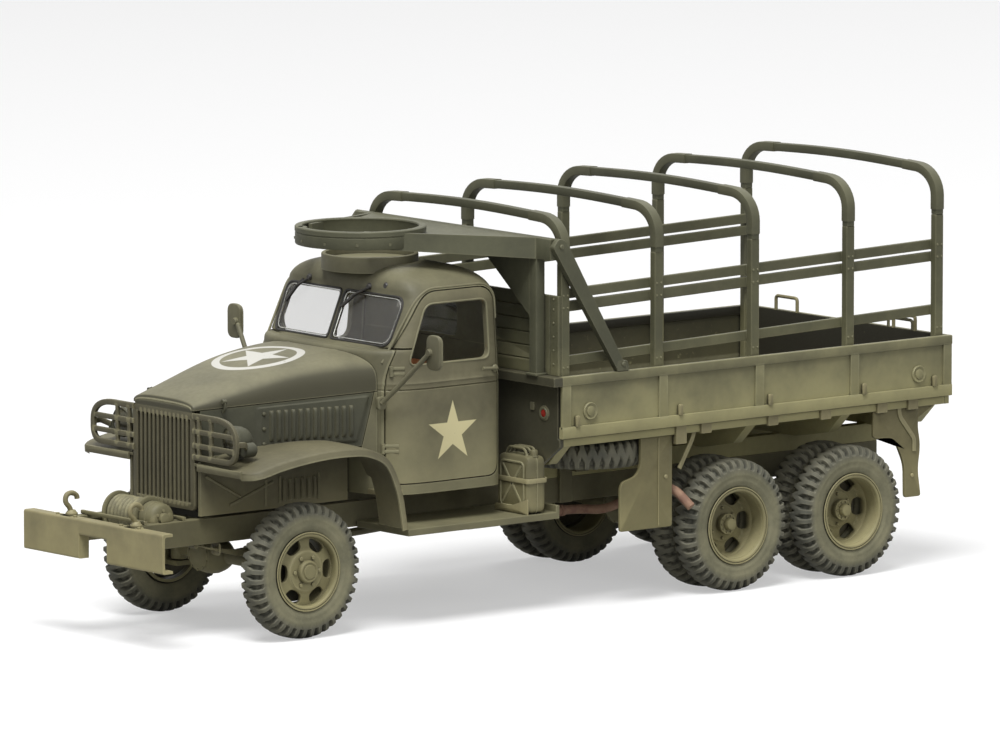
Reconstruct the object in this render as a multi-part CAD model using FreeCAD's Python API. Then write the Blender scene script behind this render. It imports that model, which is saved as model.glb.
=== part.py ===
import FreeCAD, Part
import math
import os

from FreeCAD import Vector

# A small model of a six-wheel military cargo truck. It faces +X, its left side is +Y,
# and it stands on Z = 0 with the origin under the middle of its length. All sizes are millimetres.

# Layout
front_overhang = 27.4
wheelbase = 96.95
tandem_gap = 3.1
cab_front_setback = 16.6
cab_length = 25.4
bed_gap = 5.0
bed_length = 82.9
pintle_overhang = 1.5

# Wheels and tyres
tyre_radius = 10.8
tyre_width = 4.8
lug_depth = 0.75
lug_count = 20
lug_share = 0.55
belly_share = 0.5
rim_radius = 6.0
rim_wall = 0.5
rim_flange_height = 0.35
rim_flange_thickness = 0.35
bead_inset = 0.5
front_tyre_y = 17.9
twin_outer_y = 22.9
twin_gap = 1.1
wheel_facets = 16
bar_facets = 8
bend_steps = 2
corner_steps = 3
corner_step = 0.75
disc_thickness = 0.7
disc_dish = 0.9
hand_hole_count = 6
hand_hole_shares = ((0.94, -0.28), (0.94, 0.28), (0.76, 0.32), (0.62, 0.17), (0.62, -0.17), (0.76, -0.32))
hub_radius = 2.2
hub_cap_radius = 1.5
front_hub_height = 1.3
rear_hub_radius = 1.75
rear_cap_radius = 1.0
rear_hub_height = 3.0
rear_flange_share = 0.7
spindle_radius = 0.8
running_clearance = 0.15

# Chassis frame
frame_rise = 8.2
rail_depth = 4.1
rail_flange = 1.8
rail_web = 0.7
rail_outer_y = 8.4
crossmember_thickness = 1.2
frame_end_gap = 0.9
pintle_radius = 1.1
pintle_bar = 0.5

# Front bumper, tow hooks and winch
bumper_half_width = 18.1
bumper_height = 6.3
bumper_plate = 0.8
bumper_depth = 2.0
bumper_notch_half = 3.6
bumper_notch_height = 3.8
bumper_corner = 0.7
hook_height = 3.7
hook_thickness = 1.2
hook_bar = 0.5
hook_foot_share = 0.3
hook_tip_share = 0.55
hook_top_share = 0.72
winch_setback = 7.4
winch_rise = 1.4
winch_flange_radius = 3.2
winch_flange_thickness = 0.7
winch_barrel_radius = 2.2
winch_barrel_half = 4.0
winch_offset = 1.4
winch_case_radius = 2.6
winch_case_width = 3.4

# Radiator grille, lamp guards and headlamps
grille_x_setback = 13.9
grille_half_width = 7.8
grille_rise = 1.5
grille_height = 15.2
grille_depth = 1.2
grille_border = 0.8
grille_bar_count = 12
grille_bar_width = 0.5
radiator_gap = 0.4
radiator_thickness = 1.6
guard_side_width = 11.0
guard_top_radius = 5.4
guard_low_radius = 1.8
guard_height = 7.1
guard_bar = 0.6
guard_upright_shares = (0.11, 0.4)
guard_level_shares = (0.3, 0.62)
lamp_radius = 2.4
lamp_length = 2.6
lamp_offset = 5.2
lamp_drop = 3.6
lamp_gap = 0.6
lamp_stalk_radius = 0.6
lamp_facets = 14

# Hood and its side panels
hood_wall = 0.8
hood_front_seam_gap = 0.5
hood_seam_rise = 1.2
hood_front_arch = 1.4
hood_rear_arch = 6.7
hood_tuck = 1.6
hood_facets = 10
hood_bulge_share = 0.8
hood_square_share = 0.65
hood_station_shares = (0, 0.08, 0.22, 0.45, 0.72, 1)
louvre_count = 12
louvre_pitch = 1.27
louvre_width = 0.7
louvre_height = 0.45
louvre_low_gap = 2.0
louvre_high_gap = 0.9
louvre_start_share = 0.1
seam_gap = 0.1

# Fenders and aprons
fender_overhang = 4.5
fender_wall = 0.9
fender_rise = 8.9
fender_arch = 2.5
fender_foot_gap = 0.2
fender_front_clearance = 2.6
fender_rear_clearance = 7.6
fender_run_shares = (0, 0.33, 0.62, 0.82, 0.94)
fender_drop_shares = (0.03, 0, 0.05, 0.24, 0.6)
fender_facets = 14
fender_lip = 0.2
fender_corner = 3.0
apron_gap = 0.6
apron_wall = 0.8

# Cab
cab_half_width = 18.5
cab_tumblehome = 1.1
cab_rise = 1.8
cab_height = 34.8
belt_drop = 18.0
shoulder_drop = 5.8
cab_wall = 0.9
cab_edge_radius = 5.0
cab_rear_radius = 3.0
roof_edge_share = 0.6
rear_edge_share = 0.2
cowl_inset = 3.9
windshield_drop = 3.4
windshield_height = 8.3
windshield_rake = 3.5
windshield_margin = 3.5
pane_margin = 0.3
windshield_sill_setback = 3.2
brow_share = 0.15
centre_post = 1.0
pane_corner = 1.3
glass_thickness = 0.4
door_front_setback = 2.4
door_length = 21.0
door_sill = 1.8
door_drop = 2.9
door_window_drop = 1.9
door_window_height = 9.3
door_window_margin = 1.7
door_corner = 2.2
rear_window_margin = 12.0
rear_window_drop = 6.6
rear_window_height = 5.5
collar_radius = 7.8
collar_wall = 0.7
collar_height = 1.9
collar_offset = 2.2
collar_facets = 24

# Cab fittings
floor_thickness = 0.9
seat_cushion_height = 2.6
seat_cushion_depth = 8.0
seat_pedestal_share = 0.9
seat_back_height = 9.5
seat_back_thickness = 2.0
seat_back_share = 0.6
seat_margin = 3.5
seat_pedestal = 5.0
wheel_rim_radius = 4.0
wheel_bar_radius = 0.35
column_radius = 0.4
steering_y = 7.6
wheel_reach = 12.8
wiper_bar = 0.4
wiper_length = 5.0
wiper_fall_share = 0.7
wiper_sweep_share = 0.6
mirror_reach = 7.2
mirror_drop = 11.2
mirror_width = 3.4
mirror_height = 5.7
mirror_thickness = 0.8
mirror_arm_radius = 0.4
mirror_round_share = 0.7

# Running boards and jerrycan
board_drop = 3.0
board_thickness = 1.1
board_overhang = 3.7
board_inner_gap = 0.6
board_length = 31.0
bracket_shares = (0.2, 0.8)
can_width = 8.0
can_depth = 3.8
can_height = 9.4
can_inset = 0.2
can_round_share = 0.25
can_handle_height = 1.3
can_handle_shares = (0.2, 0.5, 0.8)
can_grip_shares = (0.15, 0.3, 0.36)
can_grip_share = 0.6
can_bar_share = 0.08

# Gun ring carriage over the cab, with no weapon
ring_back = 26.2
ring_radius = 10.55
ring_wall = 1.2
ring_rise = 6.4
ring_height = 2.3
beam_drop = 1.5
beam_front_reach = 8.0
beam_front_inset = 2.05
skirt_thickness = 0.5
beam_thickness = 0.9
beam_flange = 3.4
beam_taper_share = 1.35
leg_inset = 5.46
leg_width = 1.8
gusset_width = 12.0
gusset_height = 9.4
leg_thickness = 1.8
brace_width = 1.9
brace_run = 11.6

# Cargo bed
bed_half_width = 26.06
sill_rise = 3.0
sill_depth = 4.9
bed_floor_thickness = 1.3
bed_wall_height = 11.4
bed_wall = 0.8
bed_rail = 1.3
bed_rail_height = 1.5
rib_width = 1.4
rib_depth = 0.55
rib_inset = 0.7
bay_count = 4
sill_width = 2.0
sill_end_rise = 1.5
sill_end_inset = 5.66
sill_flat_share = 0.6
bearer_width = 2.0
tailgate_wall = 0.9
handle_width = 6.0
handle_height = 1.5
handle_bar = 0.5
handle_share = 0.55

# Side racks and bows
stake_inset = 1.96
stake_width = 1.7
stake_thickness = 1.2
stake_head = 4.2
rack_rise = 2.1
rack_gap = 1.3
rack_rail_height = 1.6
rack_opening = 7.2
slat_height = 1.6
slat_gap = 0.4
slat_thickness = 0.7
front_board_count = 6
front_rack_top_gap = 1.2
front_post_width = 4.2
board_groove = 0.2
bow_straight = 1.7
bow_elbow_run = 6.9
bow_elbow_rise = 4.9
bow_crown_rise = 2.4
bow_thickness = 1.5
bow_steps = 3
crown_steps = 3

# Panels and tanks under the bed
flap_thickness = 0.6
flap_inset = 1.46
flap_height = 14.9
front_flap_gap = 2.3
front_flap_length = 11.0
rear_flap_gap = 0.8
rear_flap_length = 4.6
spare_gap = 1.3
spare_flap_gap = 0.2
carrier_thickness = 1.3
tank_length = 15.0
tank_inset = 3.3
tank_height = 8.6
tank_round = 2.6
exhaust_radius = 0.8
exhaust_drop = 1.9

# Axles, springs and shafts
front_axle_tube = 1.1
rear_axle_tube = 1.25
bowl_radius = 3.3
bowl_width = 4.4
bowl_offset = 3.0
bowl_face_share = 0.6
kingpin_inset = 4.5
kingpin_radius = 0.5
boss_radius = 1.3
boss_height = 3.6
knuckle_plate = 0.8
knuckle_half_width = 1.5
knuckle_web = 0.6
front_spring_half = 13.2
spring_thickness = 1.3
spring_width = 1.5
spring_rise = 2.2
spring_steps = 6
shaft_radius = 0.65
gearbox_length = 8.0
gearbox_width = 6.0
gearbox_height = 5.0
overrun = 2.0
tiny_share = 0.00001

# Places worked out from the sizes above
overall_length = front_overhang + cab_front_setback + cab_length + bed_gap + bed_length + pintle_overhang
axle_spread = 2 * tyre_radius + tandem_gap
nose_x = overall_length / 2
front_axle_x = nose_x - front_overhang
mid_axle_x = front_axle_x - wheelbase + axle_spread / 2
rear_axle_x = mid_axle_x - axle_spread
grille_x = nose_x - grille_x_setback
cowl_x = front_axle_x - cab_front_setback
cab_rear_x = cowl_x - cab_length
bed_front_x = cab_rear_x - bed_gap
bed_rear_x = bed_front_x - bed_length
door_front_x = cowl_x - door_front_setback
door_rear_x = door_front_x - door_length
frame_rear_x = bed_rear_x + frame_end_gap
winch_x = nose_x - winch_setback
spare_x = mid_axle_x + 2 * tyre_radius + spare_gap
ring_x = front_axle_x - ring_back
collar_x = ring_x - collar_offset
fender_reach_front = tyre_radius + fender_front_clearance
fender_reach_rear = tyre_radius + fender_rear_clearance

# Heights worked out from the sizes above
axle_z = tyre_radius
frame_top = axle_z + frame_rise
frame_low = frame_top - rail_depth
bumper_high = frame_top
bumper_low = bumper_high - bumper_height
bumper_notch_top = bumper_low + bumper_notch_height
winch_z = frame_top + winch_rise
grille_low = frame_top + grille_rise
grille_high = grille_low + grille_height
guard_low = grille_high - guard_height
lamp_z = grille_high - lamp_drop
hood_front_seam = grille_high + hood_front_seam_gap
hood_rear_seam = hood_front_seam + hood_seam_rise
hood_front_crown = hood_front_seam + hood_front_arch
hood_rear_crown = hood_rear_seam + hood_rear_arch
board_top = frame_top - board_drop
fender_front_z = frame_top + fender_rise
fender_crown_z = fender_front_z + fender_arch
fender_low_z = board_top + fender_foot_gap
hood_side_low = fender_crown_z - hood_tuck
louvre_low = hood_side_low + louvre_low_gap
louvre_high = hood_front_seam - louvre_high_gap
apron_low = frame_top + apron_gap
cab_low = frame_top + cab_rise
cab_roof = cab_low + cab_height
cab_belt = cab_roof - belt_drop
cab_shoulder = cab_roof - shoulder_drop
windshield_high = cab_roof - windshield_drop
windshield_low = windshield_high - windshield_height
door_low = cab_low + door_sill
door_high = cab_roof - door_drop
door_window_high = door_high - door_window_drop
door_window_low = door_window_high - door_window_height
rear_window_high = cab_roof - rear_window_drop
rear_window_low = rear_window_high - rear_window_height
mirror_z = cab_roof - mirror_drop
ring_top = cab_roof + ring_rise
beam_top = ring_top - beam_drop
sill_bottom = frame_top + sill_rise
sill_end_z = sill_bottom + sill_end_rise
bed_floor_low = sill_bottom + sill_depth
bed_floor_top = bed_floor_low + bed_floor_thickness
bed_wall_top = bed_floor_low + bed_wall_height
rack_rail_low = bed_wall_top + rack_gap
lower_slat_low = rack_rail_low + rack_rail_height + rack_opening
bow_foot = lower_slat_low + 2 * slat_height + slat_gap + stake_head
bow_elbow_low = bow_foot + bow_straight
bow_elbow_z = bow_elbow_low + bow_elbow_rise
bow_crown = bow_elbow_z + bow_crown_rise
flap_low = bed_floor_low - flap_height
spare_low = bed_floor_low - tyre_width - seam_gap
exhaust_z = frame_low - exhaust_drop

# Places across the truck worked out from the sizes above
bead_width = tyre_width - 2 * bead_inset
twin_inner_y = twin_outer_y - tyre_width - twin_gap
kingpin_y = front_tyre_y - kingpin_inset
hook_y = rail_outer_y
winch_left_y = winch_barrel_half - winch_offset
winch_right_y = -winch_barrel_half - winch_offset
lamp_y = grille_half_width + lamp_offset
cab_top_half = cab_half_width - cab_tumblehome
cowl_half_width = cab_half_width - cowl_inset
hood_front_half = grille_half_width
hood_rear_half = cowl_half_width - seam_gap
windshield_half_width = cab_half_width - windshield_margin
rear_window_half_width = cab_half_width - rear_window_margin
seat_half_width = cab_half_width - seat_margin
mirror_y = cab_half_width + mirror_reach
fender_outer_y = cab_half_width + fender_overhang
board_outer_y = cab_half_width + board_overhang
board_inner_y = rail_outer_y + board_inner_gap
can_outer_y = board_outer_y - can_inset
stake_y = bed_half_width - stake_inset
leg_y = bed_half_width - leg_inset
beam_half_rear = leg_y + leg_width / 2
beam_half_front = ring_radius - beam_front_inset
sill_end_y = bed_half_width - sill_end_inset
flap_y = bed_half_width - flap_inset
flap_inner_y = flap_y - flap_thickness / 2
spare_y = flap_inner_y - tyre_radius - spare_flap_gap
tank_outer_y = board_outer_y - tank_inset
bow_elbow_y = stake_y - bow_elbow_run


def axes_of(plane, u, v, w):
    """A point given in a plane's own two axes and along its normal."""
    if plane == "side":
        return Vector(u, w, v)
    if plane == "front":
        return Vector(w, u, v)
    return Vector(u, v, w)


def arc_points(start, end, centre, size):
    """The corner points of a few equal chords around an arc."""
    steps = max(1, min(corner_steps, round(size / corner_step)))
    points = []
    for step in range(steps + 1):
        share = step / steps
        spoke = (start - centre) * (1 - share) + (end - centre) * share
        points.append(centre + spoke.normalize() * size)
    return points


def rounded_wire(points, radius):
    """A closed wire through the points, with each corner turned in short chords."""
    count = len(points)
    radii = radius if isinstance(radius, (list, tuple)) else [radius] * count
    line = []
    for index, corner in enumerate(points):
        back = points[index - 1] - corner
        ahead = points[(index + 1) % count] - corner
        half = back.getAngle(ahead) / 2
        room = min(back.Length, ahead.Length) / 2
        size = min(radii[index], room * math.tan(half))
        if size <= 0:
            line.append(corner)
            continue
        back.normalize()
        ahead.normalize()
        reach = size / math.tan(half)
        middle = (back + ahead).normalize()
        centre = corner + middle * (size / math.sin(half))
        line += arc_points(corner + back * reach, corner + ahead * reach, centre, size)
    kept = [point for index,
            point in enumerate(line) if not point.isEqual(line[index - 1], overrun * tiny_share)]
    return Part.makePolygon(kept + kept[:1])


def panel(plane, points, low, high, radius=0):
    """A flat outline in the side, front or plan plane, made solid between two places."""
    corners = [axes_of(plane, u, v, low) for u, v in points]
    face = Part.Face(rounded_wire(corners, radius))
    return face.extrude(axes_of(plane, 0, 0, high - low))


def block(x_low, x_high, y_low, y_high, z_low, z_high):
    """A plain box between two places on each axis."""
    return Part.makeBox(x_high - x_low, y_high - y_low, z_high - z_low, Vector(x_low, y_low, z_low))


def rod(start, end, radius, sides=bar_facets):
    """A many-sided bar between two points."""
    return bent_rod([start, end], 0, radius, sides)


def solid_of(faces):
    """One solid inside a closed set of faces."""
    solid = Part.makeSolid(Part.makeShell(faces))
    if solid.Volume < 0:
        solid.reverse()
    return solid


def lofted(rows):
    """A solid through a line of flat outlines, all with the same number of corners."""
    faces = [Part.Face(Part.makePolygon(ends + ends[:1])) for ends in (rows[0], rows[-1])]
    for low, high in zip(rows, rows[1:]):
        for index in range(len(low)):
            for corners in ([low[index - 1], low[index], high[index]],
                            [low[index - 1], high[index], high[index - 1]]):
                if not corners[0].isEqual(corners[1], overrun * tiny_share):
                    faces.append(Part.Face(Part.makePolygon(corners + corners[:1])))
    return solid_of(faces)


def bent_rod(points, bend, radius, sides=bar_facets):
    """A many-sided bar along straight runs, each corner turned in short mitred steps."""
    stations = [points[0]]
    for before, corner, after in zip(points, points[1:], points[2:]):
        back = (before - corner).normalize()
        ahead = (after - corner).normalize()
        half = back.getAngle(ahead) / 2
        reach = bend / math.tan(half)
        outward = (back + ahead).normalize()
        centre = corner + outward * (bend / math.sin(half))
        for step in range(bend_steps + 1):
            share = step / bend_steps
            spoke = (back * reach * (1 - share) + ahead * reach * share) + corner - centre
            stations.append(centre + spoke.normalize() * bend)
    stations.append(points[-1])
    along = (stations[1] - stations[0]).normalize()
    upright = Vector(0, 0, 1) if abs(along.z) < abs(along.x) + abs(along.y) else Vector(1, 0, 0)
    first = along.cross(upright).normalize()
    second = along.cross(first)
    grow = radius / math.cos(math.pi / sides)
    turns = [(index + 1 / 2) * 2 * math.pi / sides for index in range(sides)]
    ring = [stations[0] + first * grow * math.cos(turn) + second * grow * math.sin(turn) for turn in turns]
    rings = [ring]
    for index in range(1, len(stations)):
        run = (stations[index] - stations[index - 1]).normalize()
        normal = run
        if index + 1 < len(stations):
            normal = (run + (stations[index + 1] - stations[index]).normalize()).normalize()
        ring = [point + run * ((stations[index] - point).dot(normal) / run.dot(normal)) for point in ring]
        rings.append(ring)
    faces = [Part.Face(Part.makePolygon(ends + ends[:1])) for ends in (rings[0], rings[-1])]
    for low, high in zip(rings, rings[1:]):
        for index in range(sides):
            corners = [low[index - 1], low[index], high[index], high[index - 1]]
            faces.append(Part.Face(Part.makePolygon(corners + corners[:1])))
    return solid_of(faces)


def mirrored(shape):
    """The same piece on the other side of the truck."""
    return shape.mirror(Vector(0, 0, 0), Vector(0, 1, 0))


def moved(shape, x, y, z):
    """A copy of a piece, shifted."""
    copy = shape.copy()
    copy.translate(Vector(x, y, z))
    return copy


def joined(pieces):
    """One solid from pieces that meet."""
    whole = pieces[0]
    if len(pieces) > 1:
        whole = whole.fuse(pieces[1:])
    return whole.removeSplitter()


def apart(pieces):
    """Several solids of one node that don't touch."""
    solids = []
    for piece in pieces:
        solids.extend(piece.Solids)
    return Part.makeCompound(solids)


def faceted(profile, sides):
    """A ring or disc about the Y axis with flat facets, from points of radius and place along Y."""
    step = 2 * math.pi / sides
    grow = 1 / math.cos(step / 2)

    def corner(turn, radius, along):
        angle = (turn - 1 / 2) * step
        return Vector(radius * grow * math.sin(angle), along, -radius * grow * math.cos(angle))

    faces = []
    for (radius_a, along_a), (radius_b, along_b) in zip(profile, profile[1:] + profile[:1]):
        if radius_a == 0 and radius_b == 0:
            continue
        for turn in range(sides):
            ring = [corner(turn, radius_a, along_a)]
            if radius_a > 0:
                ring.append(corner(turn + 1, radius_a, along_a))
            ring.append(corner(turn + 1, radius_b, along_b))
            if radius_b > 0:
                ring.append(corner(turn, radius_b, along_b))
            faces.append(Part.Face(Part.makePolygon(ring + ring[:1])))
    return solid_of(faces).removeSplitter()


def tread_outline(along):
    """The toothed outer line of a tyre, seen from its side."""
    pitch = 2 * math.pi / lug_count
    half = lug_share * pitch / 2
    tip = tyre_radius / math.cos(half)
    root = tyre_radius - lug_depth
    corners = []
    for index in range(lug_count):
        middle = index * pitch
        places = [(tip, middle - half), (tip, middle + half), (root, middle + half),
                  (root, middle + pitch - half)]
        corners += [Vector(radius * math.sin(turn), along, -radius * math.cos(turn)) for radius, turn in places]
    return Part.makePolygon(corners + corners[:1])


def tyre():
    """A tyre about the Y axis, with bar lugs across its tread."""
    wide = tyre_width / 2
    bead = bead_width / 2
    belly = rim_radius + (tyre_radius - rim_radius) * belly_share
    core = faceted([(rim_radius, -bead), (belly, -wide), (belly, wide), (rim_radius, bead)], wheel_facets)
    tread = Part.Face(tread_outline(-wide)).extrude(Vector(0, tyre_width, 0))
    inside = faceted([(0, -wide - overrun), (belly, -wide - overrun), (belly, wide + overrun),
                      (0, wide + overrun)],
                     wheel_facets)
    return joined([tread.cut(inside), core])


def hand_holes(low, high):
    """The ring of openings through a wheel disc, straight along the rim and rounded inwards."""
    inner = rim_radius - rim_wall
    pitch = 2 * math.pi / hand_hole_count
    cutters = []
    for index in range(hand_hole_count):
        middle = (index + 1 / 2) * pitch
        corners = []
        for reach_share, turn_share in hand_hole_shares:
            turn = middle + turn_share * pitch
            corners.append((inner * reach_share * math.sin(turn), inner * reach_share * math.cos(turn)))
        cutters.append(panel("side", corners, low, high))
    return cutters


def front_cap_reach():
    """How far a single wheel's hub cap stands out from the middle of the tyre."""
    return bead_width / 2 + rim_flange_thickness - disc_dish + front_hub_height


def front_wheel():
    """A single wheel, its disc dished outwards with a raised hub."""
    edge = bead_width / 2 + rim_flange_thickness
    inner = rim_radius - rim_wall
    flange = rim_radius + rim_flange_height
    face = edge - disc_dish
    back = face - disc_thickness
    cap = front_cap_reach()
    bore = spindle_radius + running_clearance
    profile = [(rim_radius, -edge), (rim_radius, bead_width / 2), (flange, edge), (inner, edge), (inner, face)]
    profile += [(hub_radius, face), (hub_cap_radius, cap), (0, cap), (0, face - disc_thickness / 2)]
    profile += [(bore, face - disc_thickness / 2), (bore, back), (inner, back), (inner, -edge)]
    return faceted(profile, wheel_facets).cut(hand_holes(back - overrun, face + overrun))


def twin_wheels():
    """Two rims on one disc, deep inside, with a long hub."""
    spread = (twin_outer_y - twin_inner_y) / 2
    half = spread - bead_width / 2 - rim_flange_thickness
    seat = spread + bead_width / 2
    edge = seat + rim_flange_thickness
    inner = rim_radius - rim_wall
    flange = rim_radius + rim_flange_height
    bore = spindle_radius + running_clearance
    cap = half + rear_hub_height
    ledge = half + rear_hub_height * rear_flange_share
    profile = [(rim_radius, -seat), (rim_radius, seat), (flange, edge), (inner, edge), (inner, half)]
    profile += [(rear_hub_radius, half), (rear_hub_radius, ledge), (rear_cap_radius, ledge),
                (rear_cap_radius, cap)]
    profile += [(0, cap), (0, half), (bore, half), (bore, -half), (inner, -half), (inner, -edge),
                (flange, -edge)]
    return faceted(profile, wheel_facets).cut(hand_holes(-half - overrun, half + overrun))


def rail(side):
    """One channel of the frame, open towards the middle."""
    outer = side * rail_outer_y
    inner = side * (rail_outer_y - rail_flange)
    low, high = min(outer, inner), max(outer, inner)
    solid = block(frame_rear_x, nose_x - bumper_depth, low, high, frame_low, frame_top)
    web = side * (rail_outer_y - rail_web)
    low, high = min(web, inner - side * overrun), max(web, inner - side * overrun)
    hollow = block(frame_rear_x - overrun, nose_x, low, high, frame_low + rail_web, frame_top - rail_web)
    return solid.cut(hollow)


def crossmember(x, depth):
    """A plate across the frame between the webs of its rails."""
    reach = rail_outer_y - rail_web
    half = crossmember_thickness / 2
    middle = (frame_low + frame_top) / 2
    outline = [(-reach, middle - depth / 2), (reach, middle - depth / 2)]
    outline += [(reach, middle + depth / 2), (-reach, middle + depth / 2)]
    return panel("front", outline, x - half, x + half)


def chassis_frame():
    """Both rails, the crossmembers between them and the pintle at the back."""
    inside = rail_depth - 2 * rail_web
    places = [frame_rear_x + crossmember_thickness / 2, rear_axle_x - axle_spread / 4]
    places += [(mid_axle_x + rear_axle_x) / 2, mid_axle_x + axle_spread / 2, cab_rear_x]
    places += [grille_x - grille_depth]
    pieces = [rail(1), rail(-1)] + [crossmember(x, inside) for x in places]
    middle = (frame_low + frame_top) / 2
    hook_x = -nose_x + pintle_radius
    bar = pintle_bar / 2
    eye = pintle_radius - pintle_bar
    outline = [(eye, -bar), (pintle_radius, -bar), (pintle_radius, bar), (eye, bar)]
    hook = moved(faceted(outline, wheel_facets // 2), hook_x, 0, middle)
    plate = block(hook_x + pintle_radius - bar, frame_rear_x,
                  -pintle_radius, pintle_radius, middle - pintle_radius, middle + pintle_radius)
    carrier_top = spare_low + tyre_width / 2 - front_cap_reach()
    carrier = block(spare_x - carrier_thickness, spare_x + carrier_thickness, rail_outer_y, spare_y,
                    carrier_top - carrier_thickness, carrier_top)
    hanger = block(spare_x - carrier_thickness, spare_x + carrier_thickness, rail_outer_y,
                   rail_outer_y + rail_web, frame_low, carrier_top)
    return joined(pieces + [hook, plate, carrier, hanger])


def front_bumper():
    """A channel bumper with a notch for the starting handle."""
    face = [(-bumper_half_width, bumper_low), (-bumper_notch_half, bumper_low)]
    face += [(-bumper_notch_half, bumper_notch_top), (bumper_notch_half, bumper_notch_top)]
    face += [(bumper_notch_half, bumper_low), (bumper_half_width, bumper_low)]
    face += [(bumper_half_width, bumper_high), (-bumper_half_width, bumper_high)]
    rounds = [bumper_corner] * len(face)
    solid = panel("front", face, nose_x - bumper_depth, nose_x, rounds)
    inside = block(nose_x - bumper_depth - overrun, nose_x - bumper_plate, -bumper_half_width - overrun,
                   bumper_half_width + overrun, bumper_low + bumper_plate, bumper_high - bumper_plate)
    return solid.cut(inside).Solids[0]


def tow_hook(y):
    """A flat forged hook that stands on the bumper."""
    low = bumper_high
    tall = hook_height
    back = nose_x - bumper_depth + hook_bar / 2
    front = nose_x - bumper_plate / 2
    foot = low + tall * hook_foot_share
    outline = [(back, low), (front, low), (front, foot), (back + hook_bar, foot)]
    outline += [(back + hook_bar, low + tall * hook_top_share), (front - hook_bar, low + tall * hook_top_share)]
    outline += [(front - hook_bar, low + tall * hook_tip_share), (front, low + tall * hook_tip_share)]
    outline += [(front, low + tall), (back, low + tall)]
    return panel("side", outline, y - hook_thickness / 2, y + hook_thickness / 2,
                 [0, 0, 0, 0, 0, 0, 0, 0, hook_bar, hook_bar])


def winch_drum():
    """The drum with its wound cable between two flanges."""
    flange = winch_flange_thickness
    left = winch_left_y
    right = winch_right_y
    barrel = rod(Vector(winch_x, right, winch_z), Vector(winch_x, left, winch_z), winch_barrel_radius,
                 lamp_facets)
    near = rod(Vector(winch_x, left - flange, winch_z), Vector(winch_x, left, winch_z), winch_flange_radius,
               lamp_facets)
    far = rod(Vector(winch_x, right, winch_z), Vector(winch_x, right + flange, winch_z), winch_flange_radius,
              lamp_facets)
    return joined([barrel, near, far])


def winch_case():
    """The gear case beside the drum and the bearer that carries the winch on the rails."""
    left = winch_left_y
    right = winch_right_y
    case = rod(Vector(winch_x, left, winch_z), Vector(winch_x, left + winch_case_width, winch_z),
               winch_case_radius,
               lamp_facets)
    foot = block(winch_x - winch_case_radius, winch_x + winch_case_radius, left, left + winch_case_width,
                 frame_top, winch_z)
    bearer_y = right - rail_flange
    bearing = panel("side",
                    [(winch_x - winch_barrel_radius, frame_top), (winch_x + winch_barrel_radius, frame_top),
                             (winch_x + winch_barrel_radius, winch_z + winch_barrel_radius),
                             (winch_x - winch_barrel_radius, winch_z + winch_barrel_radius)],
                    bearer_y, right, [0, 0, winch_barrel_radius, winch_barrel_radius])
    behind = winch_x - winch_flange_radius
    bar = block(behind - rail_web, behind, -rail_outer_y, rail_outer_y, frame_top, frame_top + rail_web)
    link_left = block(behind - rail_web, winch_x, left + winch_case_width - rail_flange,
                      left + winch_case_width,
                      frame_top, frame_top + rail_web)
    link_right = block(behind - rail_web, winch_x, bearer_y, right, frame_top, frame_top + rail_web)
    return joined([case, foot, bearing, bar, link_left, link_right])


def lamp_guard(side):
    """The wire guard that reaches from the grille over a headlamp."""
    inner = grille_half_width
    outer = inner + guard_side_width
    high = grille_high
    bar = guard_bar
    depth = grille_depth / 2
    points = [(side * inner, guard_low), (side * outer, guard_low), (side * outer, high), (side * inner, high)]
    plate = panel("front", points, grille_x - depth, grille_x, [0, guard_low_radius, guard_top_radius, 0])
    rounds = [0, guard_low_radius - bar, guard_top_radius - bar, 0]
    points = [(side * (inner - overrun), guard_low + bar), (side * (outer - bar), guard_low + bar)]
    points += [(side * (outer - bar), high - bar), (side * (inner - overrun), high - bar)]
    gap = panel("front", points, grille_x - grille_depth - overrun, grille_x + overrun, rounds)
    pieces = [plate.cut(gap)]
    for share in guard_upright_shares:
        y = side * (inner + guard_side_width * share)
        pieces.append(plate.common(block(grille_x - depth, grille_x, y - bar / 2, y + bar / 2, guard_low,
                                         high)))
    for share in guard_level_shares:
        z = guard_low + (high - guard_low) * share
        pieces.append(plate.common(block(grille_x - depth, grille_x, -outer, outer, z - bar / 2, z + bar / 2)))
    return joined(pieces)


def radiator_grille():
    """The upright bars in their frame, with both lamp guards."""
    border = grille_border
    half = grille_half_width
    back = grille_x - grille_depth
    frame = block(back, grille_x, -half, half, grille_low, grille_high)
    window = block(back - overrun, grille_x + overrun, -half + border, half - border,
                   grille_low + border, grille_high - border)
    pieces = [frame.cut(window)]
    room = 2 * (half - border)
    for index in range(grille_bar_count):
        y = -half + border + room * (index + 1) / (grille_bar_count + 1)
        outline = [(back, y - grille_bar_width / 2),
                   (grille_x - grille_bar_width / 2, y - grille_bar_width / 2)]
        outline += [(grille_x, y), (grille_x - grille_bar_width / 2, y + grille_bar_width / 2)]
        outline += [(back, y + grille_bar_width / 2)]
        pieces.append(panel("plan", outline, grille_low + border, grille_high - border))
    return joined(pieces + [lamp_guard(1), lamp_guard(-1)])


def radiator_core():
    """The radiator block that shows between the bars, on the front of the frame."""
    front = grille_x - grille_depth - radiator_gap
    inset = grille_border
    return block(front - radiator_thickness, front, -grille_half_width + inset, grille_half_width - inset,
                 frame_top, grille_high - inset)


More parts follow.
